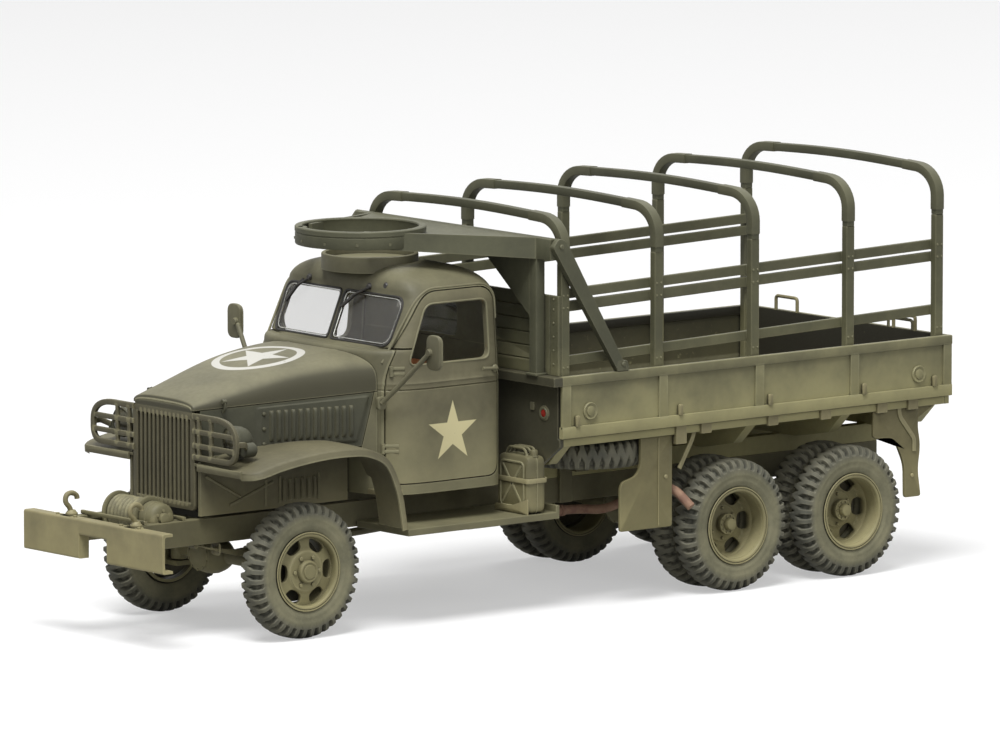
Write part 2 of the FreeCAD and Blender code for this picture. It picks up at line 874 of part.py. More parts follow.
def headlamp(side):
    """A round lamp on a short stalk from the fender."""
    front = grille_x - grille_depth / 2 - lamp_gap
    waist = front - lamp_length / 2
    y = side * lamp_y

    def ring(x, radius):
        turns = [index * 2 * math.pi / lamp_facets for index in range(lamp_facets)]
        return [Vector(x, y + radius * math.cos(turn), lamp_z + radius * math.sin(turn)) for turn in turns]

    bowl = lofted([ring(front - lamp_length, lamp_radius / 2), ring(waist, lamp_radius),
                   ring(front, lamp_radius)])
    stalk = rod(Vector(waist, y, fender_height(waist)), Vector(waist, y, lamp_z), lamp_stalk_radius)
    return joined([bowl, stalk])


def hood_share(x):
    """How far back along the hood a place lies, from 0 at the grille to 1 at the cab."""
    return (grille_x - x) / (grille_x - cowl_x)


def hood_arch(x, inset):
    """The arched outline of the hood at one place, inset by a wall."""
    share = hood_share(x)
    half = hood_front_half + (hood_rear_half - hood_front_half) * share - inset
    seam = hood_front_seam + (hood_rear_seam - hood_front_seam) * share
    bulge = math.sin(share * math.pi / 2) ** hood_bulge_share
    crown = hood_front_crown + (hood_rear_crown - hood_front_crown) * bulge - inset
    points = []
    for index in range(hood_facets + 1):
        turn = math.pi * index / hood_facets
        across = math.cos(turn)
        up = max(0, math.sin(turn)) ** hood_square_share
        points.append(Vector(x, half * math.copysign(abs(across) ** hood_square_share, across),
                             seam + (crown - seam) * up))
    return points


def hood_top():
    """The curved top of the hood, a shell with open ends."""
    front = grille_x - seam_gap
    span = front - cowl_x - seam_gap
    rows = []
    for share in hood_station_shares:
        x = front - span * share
        rows.append(hood_arch(x, 0) + list(reversed(hood_arch(x, hood_wall))))
    nose = [(-hood_front_half, grille_high + seam_gap), (hood_front_half, grille_high + seam_gap)]
    nose += [(point.y, point.z) for point in hood_arch(front, seam_gap)]
    return joined([lofted(rows), panel("front", nose, front - hood_wall, front)])


def hood_side(side):
    """One upright panel under the hood, with its row of louvres."""
    front = grille_x - grille_depth - seam_gap
    rear = cowl_x + seam_gap

    def half_at(x):
        return hood_front_half + (hood_rear_half - hood_front_half) * hood_share(x)

    outline = [(front, half_at(front)), (rear, half_at(rear)), (rear, half_at(rear) - hood_wall)]
    outline += [(front, half_at(front) - hood_wall)]
    points = [(x, side * y) for x, y in outline]
    wall = panel("plan", points, hood_side_low, hood_rear_seam + overrun)
    keep = [(front, hood_side_low), (rear, hood_side_low), (rear, hood_rear_seam - seam_gap)]
    keep += [(front, hood_front_seam - seam_gap)]
    wall = wall.common(panel("side", keep, -hood_rear_half, hood_rear_half))
    pieces = [wall]
    first = rear + (front - rear) * louvre_start_share
    for index in range(louvre_count):
        x = first + louvre_pitch * index
        near = side * half_at(x)
        far = side * (half_at(x + louvre_width) + louvre_height)
        base = side * half_at(x + louvre_width)
        inner = side * (half_at(x) - hood_wall / 2)
        wedge = panel("plan", [(x, near), (x + louvre_width, far), (x + louvre_width, base), (x, inner)],
                      louvre_low, louvre_high)
        pieces.append(wedge)
    return joined(pieces)


def fender_points():
    """The fender's outer line in side view, from its front edge to the running board."""
    rear = front_axle_x - fender_reach_rear
    drop = fender_crown_z - fender_low_z
    points = [(front_axle_x + fender_reach_front, fender_front_z)]
    for run_share, drop_share in zip(fender_run_shares, fender_drop_shares):
        points.append((front_axle_x - fender_reach_rear * run_share, fender_crown_z - drop * drop_share))
    return points + [(rear, fender_low_z)]


def fender_height(x):
    """The height of the fender's top at one place ahead of its crown."""
    points = fender_points()
    for (xa, za), (xb, zb) in zip(points, points[1:]):
        if xb <= x <= xa:
            return za + (zb - za) * (xa - x) / (xa - xb)
    return fender_front_z


def fender_strip(thickness, y_low, y_high):
    """The fender's curved sheet between two places across the truck."""
    tops = [Vector(x, y_low, z) for x, z in fender_points()]
    middle = Vector(front_axle_x, y_low, axle_z)
    lows = [point + (middle - point).normalize() * thickness for point in tops]
    lines = []
    for row in (tops, lows):
        curve = Part.BSplineCurve()
        curve.interpolate(row)
        lines.append(curve.discretize(fender_facets + 1))
    outline = lines[0] + list(reversed(lines[1]))
    return Part.Face(Part.makePolygon(outline + outline[:1])).extrude(Vector(0, y_high - y_low, 0))


def fender(side):
    """A front fender with its lip, and the apron between it and the frame."""
    inner = rail_outer_y - apron_wall
    sheet = fender_strip(fender_wall, inner, fender_outer_y)
    lip = fender_strip(fender_wall + fender_lip, fender_outer_y - fender_wall, fender_outer_y)
    front = front_axle_x + fender_reach_front
    rear = front_axle_x - fender_reach_rear
    keep = panel("plan", [(front, inner), (front, fender_outer_y), (rear - overrun, fender_outer_y),
                          (rear - overrun, inner)], 0, fender_crown_z + overrun, [0, fender_corner, 0, 0])
    rails = block(rear - overrun, front + overrun, 0, rail_outer_y, 0, frame_top + rail_depth)
    arch = joined([sheet, lip]).common(keep).cut(rails)
    cab = cab_envelope(-seam_gap)
    hood_line = [(grille_x, 0), (grille_x, hood_front_half + seam_gap)]
    hood_line += [(cowl_x, hood_rear_half + seam_gap), (cowl_x, 0)]
    core = panel("plan", hood_line, hood_side_low - seam_gap, fender_crown_z + overrun)
    grille = block(grille_x - grille_depth - seam_gap, grille_x + overrun, 0, grille_half_width + seam_gap, 0,
                   grille_high)
    arch = arch.cut([cab, core, grille])
    apron_back = cowl_x + seam_gap
    apron_front = grille_x - grille_depth - seam_gap
    apron = panel("side",
                  [(apron_back, hood_side_low - seam_gap), (apron_front, fender_front_z - fender_wall / 2),
                           (apron_front, apron_low), (apron_back, apron_low)],
                  rail_outer_y, rail_outer_y + apron_wall)
    solid = joined([arch, apron])
    return solid if side > 0 else mirrored(solid)


def cab_envelope(inset):
    """The cab's outer form, or its inner form when inset by the wall."""
    half = cab_half_width - inset
    top = cab_top_half - inset
    low = cab_low if inset <= 0 else cab_low - overrun
    roof = cab_roof - inset
    front = cowl_x - inset
    rear = cab_rear_x + inset
    edge = cab_edge_radius
    sill_x = cowl_x - windshield_sill_setback
    head_x = sill_x - windshield_rake
    side = [(rear, low), (rear, roof - edge * rear_edge_share), (rear + edge, roof)]
    side += [(head_x - inset, roof),
             (head_x + windshield_rake * brow_share - inset, windshield_high + cab_wall / 2)]
    side += [(sill_x - inset, windshield_low), (front, windshield_low - inset), (front, low)]
    solid = panel("side", side, -half, half, [0, edge, edge, 2 * cab_wall, 0, 0, cab_wall, 0])
    crown = [(-half, low), (half, low), (half, cab_belt), (top, cab_shoulder),
             (top - edge * roof_edge_share, roof)]
    crown += [(-y, z) for y, z in reversed(crown[2:])]
    rounds = [0, 0, edge, edge / 2, edge, edge, edge / 2, edge]
    solid = solid.common(panel("front", crown, rear - overrun, front + overrun, rounds))
    flare = door_front_setback
    cowl = cowl_half_width - inset
    plan = [(front, -cowl), (front, cowl), (front - flare, half), (rear, half), (rear, -half),
            (front - flare, -half)]
    rounds = [0, 0, edge, cab_rear_radius, cab_rear_radius, edge]
    return solid.common(panel("plan", plan, low - overrun, roof + overrun, rounds))


def door_outline(gap):
    """The door's outline in side view, larger or smaller by a gap."""
    front = door_front_x + gap
    rear = door_rear_x - gap
    lean = windshield_rake * 2
    points = [(rear, door_low - gap), (front, door_low - gap), (front, cab_belt + windshield_rake)]
    points += [(front - lean, door_high + gap), (rear, door_high + gap)]
    return points


def cab_walls():
    """The cab's hollow shell before its openings are cut."""
    return cab_envelope(0).cut(cab_envelope(cab_wall))


def pane_outline(side, gap):
    """One windshield opening in front view."""
    inner = centre_post / 2 + gap
    outer = windshield_half_width - gap
    low = windshield_low + pane_margin + gap
    high = windshield_high - pane_margin - gap
    points = [(inner, low), (outer, low), (outer, high), (inner, high)]
    return [(side * y, z) for y, z in points]


def cab_shell(walls):
    """Roof, cowl, rear wall and pillars, with the collar on the roof."""
    cutters = []
    for side in (1, -1):
        low, high = (cab_top_half - cab_edge_radius, cab_half_width + overrun)
        door = panel("side", door_outline(seam_gap), low, high,
                     [door_corner, door_corner, 0, door_corner, door_corner])
        cutters.append(door if side > 0 else mirrored(door))
        cutters.append(panel("front", pane_outline(side, 0),
                             cowl_x - windshield_sill_setback - windshield_rake * 2,
                             cowl_x + overrun, pane_corner))
    window = [(-rear_window_half_width, rear_window_low), (rear_window_half_width, rear_window_low)]
    window += [(rear_window_half_width, rear_window_high), (-rear_window_half_width, rear_window_high)]
    cutters.append(panel("front", window, cab_rear_x - overrun, cab_rear_x + overrun, pane_corner))
    low = cab_roof - cab_wall
    high = cab_roof + collar_height
    outer = rod(Vector(collar_x, 0, low), Vector(collar_x, 0, high), collar_radius, collar_facets)
    inner = rod(Vector(collar_x, 0, cab_roof), Vector(collar_x, 0, high + overrun), collar_radius - collar_wall,
                collar_facets)
    return joined([walls.cut(cutters), outer.cut(inner)])


def door(walls, side):
    """A door, as thick as the cab wall, with its window cut."""
    rounds = [door_corner, door_corner, 0, door_corner, door_corner]
    cutter = panel("side", door_outline(0), cab_top_half - cab_edge_radius, cab_half_width + overrun, rounds)
    margin = door_window_margin
    front = door_front_x - margin
    rear = door_rear_x + margin
    window = [(rear, door_window_low), (front - margin, door_window_low)]
    window += [(front - windshield_rake - margin, door_window_high), (rear, door_window_high)]
    hole = panel("side", window, 0, cab_half_width + overrun, pane_corner)
    if side < 0:
        cutter = mirrored(cutter)
        hole = mirrored(hole)
    return joined([max(walls.common(cutter).cut(hole).Solids, key=lambda solid: solid.Volume)])


def window_glass():
    """The two windshield panes and the rear pane."""
    sill_x = cowl_x - windshield_sill_setback - cab_wall / 2
    slope = windshield_rake / (windshield_high - windshield_low)
    panes = []
    for side in (1, -1):
        pane = panel("front", pane_outline(side, seam_gap), cab_rear_x, cowl_x, pane_corner)
        head_x = sill_x - slope * (windshield_high - windshield_low)
        slab = panel("side", [(sill_x, windshield_low), (head_x, windshield_high),
                              (head_x - glass_thickness, windshield_high),
                              (sill_x - glass_thickness, windshield_low)], -cab_half_width, cab_half_width)
        panes.append(pane.common(slab))
    half = rear_window_half_width - seam_gap
    low = rear_window_low + seam_gap
    high = rear_window_high - seam_gap
    place = cab_rear_x + cab_wall / 2
    panes.append(panel("front", [(-half, low), (half, low), (half, high), (-half, high)],
                       place - glass_thickness / 2, place + glass_thickness / 2, pane_corner))
    return apart(panes)


def cab_floor():
    """The floor of the cab between its walls."""
    inside = cab_envelope(cab_wall)
    slab = block(cab_rear_x, cowl_x, -cab_half_width, cab_half_width, cab_low, cab_low + floor_thickness)
    return inside.common(slab)


def bench_seat():
    """The bench with its cushion and back."""
    floor = cab_low + floor_thickness
    back = cab_rear_x + cab_wall + seam_gap * 2
    foot = back + seat_cushion_depth * seat_pedestal_share
    top = floor + seat_pedestal + seat_cushion_height
    outline = [(back, floor), (foot, floor), (foot, floor + seat_pedestal)]
    outline += [(back + seat_cushion_depth, floor + seat_pedestal), (back + seat_cushion_depth, top)]
    outline += [(back + seat_back_thickness, top),
                (back + seat_back_thickness * seat_back_share, top + seat_back_height)]
    outline += [(back, top + seat_back_height)]
    rounds = [0, 0, 0, 0, seat_cushion_height / 3, 0, seat_back_thickness / 4, 0]
    return panel("side", outline, -seat_half_width, seat_half_width, rounds)


def steering_wheel():
    """The wheel on its column, in front of the driver on the left."""
    floor = cab_low + floor_thickness
    foot = Vector(cowl_x - cab_wall - column_radius * 4, steering_y, floor)
    hub = Vector(cab_rear_x + wheel_reach, steering_y, cab_belt + wheel_rim_radius / 4)
    axis = hub - foot
    column = rod(foot, hub, column_radius)
    low = wheel_rim_radius - wheel_bar_radius
    high = wheel_rim_radius + wheel_bar_radius
    outline = [(low, -wheel_bar_radius), (high, -wheel_bar_radius), (high, wheel_bar_radius),
               (low, wheel_bar_radius)]
    ring = faceted(outline, wheel_facets)
    ring.Placement = FreeCAD.Placement(hub, FreeCAD.Rotation(Vector(0, 1, 0), axis))
    across = Vector(0, 1, 0)
    along = axis.cross(across).normalize()
    bars = [rod(hub - across * wheel_rim_radius, hub + across * wheel_rim_radius, wheel_bar_radius / 2)]
    bars.append(rod(hub, hub + along * wheel_rim_radius, wheel_bar_radius / 2))
    floor_cut = block(cab_rear_x, cowl_x, 0, cab_half_width, 0, floor)
    return joined([column, ring] + bars).cut(floor_cut)


def wipers():
    """Two short wipers that hang from the head of the windshield."""
    pieces = []
    slope = windshield_rake / windshield_height
    sill_x = cowl_x - windshield_sill_setback
    for side in (1, -1):
        y = side * windshield_half_width / 2
        z = windshield_high
        face = sill_x - slope * windshield_height
        pivot = Vector(face - wiper_bar / 2, y, z)
        knee = Vector(face + wiper_bar * 2, y, z)
        tip_z = z - wiper_length * wiper_fall_share
        tip_x = sill_x - slope * (tip_z - windshield_low) + wiper_bar
        tip = Vector(tip_x, y + wiper_length * wiper_sweep_share, tip_z)
        arm = joined([rod(pivot, knee, wiper_bar / 2), rod(knee, tip, wiper_bar / 2)]).cut(cab_envelope(0))
        pieces.append(max(arm.Solids, key=lambda solid: solid.Volume))
    return apart(pieces)


def mirror(side):
    """A round-cornered mirror on its arm from the cowl."""
    x = door_front_x - mirror_thickness * 2
    base = Vector(door_front_x + door_front_setback / 2, cab_half_width - 2 * cab_wall,
                  cab_belt - mirror_width / 2)
    arm = rod(base, Vector(x - mirror_thickness, mirror_y - mirror_width / 4, mirror_z), mirror_arm_radius)
    half = mirror_width / 2
    low = mirror_z - mirror_height / 2
    high = mirror_z + mirror_height / 2
    outline = [(mirror_y - half, low), (mirror_y + half, low), (mirror_y + half, high), (mirror_y - half, high)]
    head = panel("front", outline, x - mirror_thickness, x, half * mirror_round_share)
    solid = joined([arm, head]).cut(cab_envelope(-seam_gap))
    solid = max(solid.Solids, key=lambda piece: piece.Volume)
    return solid if side > 0 else mirrored(solid)


def running_board(side):
    """A step along the cab with its rear stop and its brackets."""
    front = front_axle_x - fender_reach_rear - seam_gap
    rear = front - board_length
    low = board_top - board_thickness
    pieces = [block(rear, front, board_inner_y, board_outer_y, low, board_top)]
    for share in bracket_shares:
        x = rear + board_length * share
        pieces.append(block(x - rail_web, x + rail_web, rail_outer_y, (board_inner_y + board_outer_y) / 2,
                            low - rail_web, low))
        pieces.append(block(x - rail_web, x + rail_web, rail_outer_y, board_inner_y, low - rail_web, board_top))
    pieces.append(block(rear, rear + rail_web, board_outer_y / 2, board_outer_y, board_top,
                        board_top + board_thickness))
    solid = joined(pieces)
    return solid if side > 0 else mirrored(solid)


def jerrycan():
    """The can that stands on the left running board, with three handles."""
    x = bed_front_x + seam_gap
    low = board_top
    high = low + can_height
    inner = can_outer_y - can_width
    outline = [(inner, low), (can_outer_y, low), (can_outer_y, high), (inner, high)]
    pieces = [panel("front", outline, x, x + can_depth, can_depth * can_round_share)]
    foot, head, gap = [can_width * share for share in can_grip_shares]
    bar = can_depth * can_bar_share
    top = high + can_handle_height
    under = high + can_handle_height * can_grip_share
    for share in can_handle_shares:
        middle = x + can_depth * share
        grip = panel("front", [(inner + foot, high), (inner + head, top), (can_outer_y - head, top),
                               (can_outer_y - foot, high)], middle - bar, middle + bar)
        hole = panel("front", [(inner + head, high), (inner + gap, under), (can_outer_y - gap, under),
                               (can_outer_y - head, high)], middle - 2 * bar, middle + 2 * bar)
        pieces.append(grip.cut(hole))
    return joined(pieces)


def gun_ring():
    """The open ring over the cab roof."""
    low = ring_top - ring_height
    ring = Part.makeCylinder(ring_radius, ring_height, Vector(ring_x, 0, low))
    return ring.cut(Part.makeCylinder(ring_radius - ring_wall, ring_height + overrun, Vector(ring_x, 0, low)))


def ring_carriage():
    """The beam that holds the ring between its skirts, with its legs, gussets and braces on the bed."""
    front_x = ring_x + beam_front_reach
    rear_x = bed_front_x + leg_thickness
    low = beam_top - beam_flange
    plan = [(front_x, -beam_half_front), (front_x, beam_half_front), (rear_x, beam_half_rear),
            (rear_x, -beam_half_rear)]
    pieces = [panel("plan", plan, beam_top - beam_thickness, beam_top)]
    shallow = beam_top - beam_thickness * beam_taper_share
    slope = [(front_x + overrun, low - overrun), (front_x + overrun, shallow), (front_x, shallow)]
    slope += [(rear_x, low), (rear_x, low - overrun)]
    under = panel("side", slope, -beam_half_rear, beam_half_rear)
    for side in (1, -1):
        skirt = [(front_x, side * beam_half_front), (rear_x, side * beam_half_rear)]
        skirt += [(rear_x, side * (beam_half_rear - skirt_thickness))]
        skirt.append((front_x, side * (beam_half_front - skirt_thickness)))
        pieces.append(panel("plan", skirt, low, beam_top).cut(under))
    inside = Part.makeCylinder(ring_radius + seam_gap, ring_top, Vector(ring_x, 0, 0))
    beam = joined(pieces).cut(inside)
    pieces = [solid for solid in beam.Solids if solid.BoundBox.XMin < ring_x - ring_radius]
    pieces.append(block(rear_x - leg_thickness, rear_x, -bed_half_width, bed_half_width, low, beam_top))
    y_low = leg_y - leg_width / 2
    y_high = leg_y + leg_width / 2
    back = rear_x - leg_thickness
    leg = block(back, rear_x, y_low, y_high, bed_wall_top, low)
    gusset = panel("front", [(y_low, low), (y_low - gusset_width, low), (y_low, low - gusset_height)],
                   rear_x - beam_thickness, rear_x)
    brace = [(back, low), (back, beam_top), (back - brace_run - brace_width, bed_wall_top),
             (back - brace_run, bed_wall_top)]
    strut = panel("side", brace, stake_y + bow_thickness / 2 + seam_gap, bed_half_width)
    for piece in (leg, gusset, strut):
        pieces += [piece, mirrored(piece)]
    return joined(pieces)


def bay_places():
    """The ribs' places along the bed."""
    first = bed_front_x - rib_inset
    span = bed_length - 2 * rib_inset
    return [first - span * index / bay_count for index in range(bay_count + 1)]


def bed_floor():
    """The floor with its bearers along the frame and its sills across."""
    pieces = [block(bed_rear_x + tailgate_wall, bed_front_x - bed_wall, -bed_half_width + bed_wall,
                    bed_half_width - bed_wall, bed_floor_low, bed_floor_top)]
    for side in (1, -1):
        low, high = sorted((side * rail_outer_y, side * (rail_outer_y - bearer_width)))
        pieces.append(block(frame_rear_x, bed_front_x - bed_wall, low, high, frame_top, sill_bottom))
    places = bay_places()
    reach = flap_y - flap_thickness
    flat = sill_end_y * sill_flat_share
    for index, x in enumerate(places):
        middle = x
        if index == 0:
            middle = x - bed_wall - sill_width / 2
        if index == bay_count:
            middle = x + tailgate_wall + sill_width / 2
        outline = [(-reach, bed_floor_low), (-sill_end_y, sill_end_z), (-flat, sill_bottom)]
        if index != 1:
            outline += [(flat, sill_bottom), (sill_end_y, sill_end_z), (reach, bed_floor_low)]
        else:
            outline += [(-rail_outer_y + bearer_width, sill_bottom),
                        (-rail_outer_y + bearer_width, bed_floor_low)]
        pieces.append(panel("front", outline, middle - sill_width / 2, middle + sill_width / 2))
    return joined(pieces)


def bed_side(side):
    """A bed wall with its ribs and its top and bottom rails."""
    outer = bed_half_width
    skin_outer = outer - rib_depth
    skin_inner = outer - bed_wall
    front = bed_front_x
    rear = bed_rear_x
    skin = block(rear, front, skin_inner, skin_outer, bed_floor_low, bed_wall_top)
    top = block(rear, front, outer - bed_rail, outer, bed_wall_top - bed_rail_height, bed_wall_top)
    bottom = block(rear, front, skin_inner, outer, bed_floor_low, bed_floor_top + rib_depth)
    pieces = [skin, top, bottom]
    for x in bay_places():
        low = x - rib_width / 2
        high = x + rib_width / 2
        pieces.append(block(max(low, rear), min(high, front), skin_inner, outer, bed_floor_low, bed_wall_top))
    solid = joined(pieces)
    return solid if side > 0 else mirrored(solid)


def bed_front():
    """The front wall of the bed with the rail that the legs stand on."""
    reach = bed_half_width - bed_rail
    solid = block(bed_front_x - bed_wall, bed_front_x, -reach, reach, bed_floor_top, bed_wall_top)
    skirt = [(-bed_half_width + bed_wall, bed_floor_top), (-bed_half_width + bed_wall, bed_floor_low)]
    skirt += [(-sill_end_y, sill_end_z), (sill_end_y, sill_end_z), (bed_half_width - bed_wall, bed_floor_low)]
    skirt += [(bed_half_width - bed_wall, bed_floor_top)]
    rail = block(bed_front_x, bed_front_x + leg_thickness, -bed_half_width, bed_half_width,
                 bed_wall_top - bed_rail_height, bed_wall_top)
    return joined([solid, rail, panel("front", skirt, bed_front_x - bed_wall, bed_front_x)])


def tailgate():
    """The rear wall, with the handle that stands on its top."""
    reach = bed_half_width - bed_rail
    front = bed_rear_x + tailgate_wall
    wall = block(bed_rear_x, front, -reach, reach, bed_floor_top, bed_wall_top)
    lip = block(bed_rear_x, front, -bed_half_width + bed_wall, bed_half_width - bed_wall, bed_floor_low,
                bed_floor_top)
    x = (bed_rear_x + front) / 2
    y = reach * handle_share
    high = bed_wall_top + handle_height
    feet = [Vector(x, y - handle_width / 2, bed_wall_top), Vector(x, y - handle_width / 2, high)]
    feet += [Vector(x, y + handle_width / 2, high), Vector(x, y + handle_width / 2, bed_wall_top)]
    return joined([wall, lip, bent_rod(feet, handle_bar, handle_bar / 2)])


def rack_lift(x):
    """How much the racks have risen at one place, from the front of the bed to its back."""
    return rack_rise * (bed_front_x - x) / bed_length


def stake_start(x):
    """Where a stake's rear face lies, kept between the end walls of the bed."""
    low = max(x - stake_width / 2, bed_rear_x + tailgate_wall)
    return min(low, bed_front_x - bed_wall - stake_width)


def side_rack(side):
    """A rack of stakes with a bottom rail and two slats that climb to the rear."""
    places = bay_places()
    inner = stake_y - stake_thickness / 2
    pieces = []
    for x in places:
        low = stake_start(x)
        high = bow_foot + rack_lift(low + stake_width / 2)
        pieces.append(block(low, low + stake_width, inner, inner + stake_thickness, bed_floor_top, high))
    front = stake_start(places[0]) + stake_width / 2
    rear = stake_start(places[-1]) + stake_width / 2
    levels = [(rack_rail_low, rack_rail_height), (lower_slat_low, slat_height)]
    levels.append((lower_slat_low + slat_height + slat_gap, slat_height))
    for low, height in levels:
        outline = [(rear, low + rack_lift(rear)), (front, low + rack_lift(front))]
        outline += [(front, low + height + rack_lift(front)), (rear, low + height + rack_lift(rear))]
        pieces.append(panel("side", outline, inner - slat_thickness, inner))
    solid = joined(pieces)
    return solid if side > 0 else mirrored(solid)


def front_rack():
    """The boards and corner posts that stand on the front wall of the bed."""
    front = bed_front_x - seam_gap
    back = bed_front_x - bed_wall + seam_gap
    reach = stake_y + stake_thickness / 2
    half = reach - front_post_width
    low = bed_wall_top
    high = lower_slat_low + slat_height + front_rack_top_gap
    step = (high - low) / front_board_count
    solid = block(back, front, -reach, reach, low, high)
    cuts = []
    for index in range(1, front_board_count):
        z = low + step * index
        cuts.append(block(front - board_groove, bed_front_x, -half, half, z - board_groove / 2,
                          z + board_groove / 2))
    for y in (half, half + front_post_width / 2):
        for side in (1, -1):
            cuts.append(block(front - board_groove, bed_front_x, side * y - board_groove / 2,
                              side * y + board_groove / 2,
                              low, high))
    return solid.cut(cuts)


def bow(x):
    """One bow over the bed, from stake to stake."""
    lift = rack_lift(x)
    turn_z = bow_elbow_low + lift
    elbow_z = bow_elbow_z + lift
    crown_z = bow_crown + lift

    def half_line(offset):
        line = [Vector(x, stake_y + offset, bow_foot + lift)]
        for step in range(bow_steps + 1):
            turn = math.pi / 2 * step / bow_steps
            line.append(Vector(x, bow_elbow_y + (stake_y - bow_elbow_y + offset) * math.cos(turn),
                               turn_z + (elbow_z - turn_z + offset) * math.sin(turn)))
        for step in range(1, crown_steps):
            share = step / crown_steps
            rise = crown_z - elbow_z
            line.append(Vector(x, bow_elbow_y * (1 - share),
                               elbow_z + offset + rise * math.sin(share * math.pi / 2)))
        return line

    def whole_line(offset):
        half = half_line(offset)
        top = Vector(x, 0, crown_z + offset)
        return half + [top] + [Vector(x, -point.y, point.z) for point in reversed(half)]

    outline = whole_line(bow_thickness / 2) + list(reversed(whole_line(-bow_thickness / 2)))
    solid = Part.Face(Part.makePolygon(outline + outline[:1])).extrude(Vector(stake_width, 0, 0))
    return moved(solid, -stake_width / 2, 0, 0)


def bows():
    """All the bows over the bed."""
    pieces = []
    for x in bay_places():
        pieces.append(bow(stake_start(x) + stake_width / 2))
    return apart(pieces)


def splash_panels():
    """The flat panels that hang from the bed before and behind the rear wheels."""
    pieces = []
    front = mid_axle_x + tyre_radius + front_flap_gap
    rear = rear_axle_x - tyre_radius - rear_flap_gap
    for low, high in ((front, front + front_flap_length), (rear - rear_flap_length, rear)):
        plate = block(low, high, flap_y - flap_thickness / 2, flap_y + flap_thickness / 2, flap_low,
                      bed_floor_low)
        pieces += [plate, mirrored(plate)]
    return apart(pieces)


def laid_flat(shape):
    """A wheel or tyre turned so that its axle points upwards."""
    copy = shape.copy()
    copy.rotate(Vector(0, 0, 0), Vector(1, 0, 0), 90)
    return copy


def spare_tyre():
    """The spare tyre, flat on its carrier under the bed."""
    return moved(laid_flat(tyre()), spare_x, spare_y, spare_low + tyre_width / 2)


def spare_wheel():
    """The spare wheel inside its tyre."""
    wheel = front_wheel()
    wheel.rotate(Vector(0, 0, 0), Vector(1, 0, 0), -90)
    return moved(wheel, spare_x, spare_y, spare_low + tyre_width / 2)


def fuel_tank():
    """The tank on the right of the frame behind the cab."""
    front = front_axle_x - fender_reach_rear - board_length - 2 * seam_gap
    inner = rail_outer_y
    outer = tank_outer_y
    high = sill_bottom - seam_gap
    low = high - tank_height
    outline = [(-inner, low), (-outer, low), (-outer, high), (-inner, high)]
    return panel("front", outline, front - tank_length, front, [0, tank_round, tank_round, 0])


def exhaust():
    """The exhaust pipe under the left rail, out before the rear wheels."""
    y = rail_outer_y - rail_flange / 2
    front = cab_rear_x
    end = mid_axle_x + tyre_radius + exhaust_radius * 4
    points = [Vector(front, y, exhaust_z), Vector(end + tyre_radius / 2, y, exhaust_z)]
    points.append(Vector(end, flap_y - exhaust_radius * 3, exhaust_z - exhaust_radius))
    hanger = block(front - rail_flange, front - rail_flange + rail_web, y - exhaust_radius / 2,
                   y + exhaust_radius / 2,
                   exhaust_z, frame_low)
    return joined([bent_rod(points, exhaust_radius * 3, exhaust_radius), hanger])


def axle_bowl(x, y, radius, width):
    """The round differential housing on an axle."""
    face = radius * bowl_face_share
    profile = [(0, -width / 2), (face, -width / 2), (radius, -width / 6), (radius, width / 6)]
    profile += [(face, width / 2), (0, width / 2)]
    return moved(faceted(profile, wheel_facets // 2), x, y, axle_z)


def front_axle():
    """The driven front axle between its two kingpin bosses."""
    x = front_axle_x
    reach = kingpin_y
    pieces = [rod(Vector(x, -reach, axle_z), Vector(x, reach, axle_z), front_axle_tube)]
    pieces.append(axle_bowl(x, -bowl_offset, bowl_radius, bowl_width))
    cutters = []
    low = axle_z - boss_height / 2
    high = axle_z + boss_height / 2
    for y in (-reach, reach):
        pieces.append(rod(Vector(x, y, low), Vector(x, y, high), boss_radius))
        cutters.append(rod(Vector(x, y, low - overrun), Vector(x, y, high + overrun),
                           kingpin_radius + running_clearance))
    return joined(pieces).cut(cutters)


def knuckle(side):
    """A steering knuckle: two plates on the kingpin, the web and the wheel's spindle."""
    x = front_axle_x
    y = kingpin_y
    half = boss_height / 2 + running_clearance
    top = half + knuckle_plate
    wide = knuckle_half_width
    web_in = y + boss_radius + 2 * running_clearance
    web_out = web_in + knuckle_web
    upper = block(x - wide, x + wide, y - boss_radius, web_out, axle_z + half, axle_z + top)
    lower = block(x - wide, x + wide, y - boss_radius, web_out, axle_z - top, axle_z - half)
    web = block(x - wide, x + wide, web_in, web_out, axle_z - top, axle_z + top)
    pin = rod(Vector(x, y, axle_z - half), Vector(x, y, axle_z + half), kingpin_radius)
    face = front_tyre_y + bead_width / 2 + rim_flange_thickness - disc_dish - disc_thickness / 2
    spindle = rod(Vector(x, web_in, axle_z), Vector(x, face - running_clearance, axle_z), spindle_radius)
    solid = joined([upper, lower, web, pin, spindle])
    return solid if side > 0 else mirrored(solid)


def rear_axles():
    """Both driven rear axles with their spindles."""
    middle = (twin_outer_y + twin_inner_y) / 2
    half = (twin_outer_y - twin_inner_y) / 2 - bead_width / 2 - rim_flange_thickness
    reach = middle + half - running_clearance
    shoulder = middle - half - running_clearance
    pieces = []
    for x in (mid_axle_x, rear_axle_x):
        tube = rod(Vector(x, -shoulder, axle_z), Vector(x, shoulder, axle_z), rear_axle_tube)
        spindle = rod(Vector(x, -reach, axle_z), Vector(x, reach, axle_z), spindle_radius)
        bowl = axle_bowl(x, -bowl_offset, bowl_radius, bowl_width)
        pieces.append(joined([tube, spindle, bowl]))
    return apart(pieces)


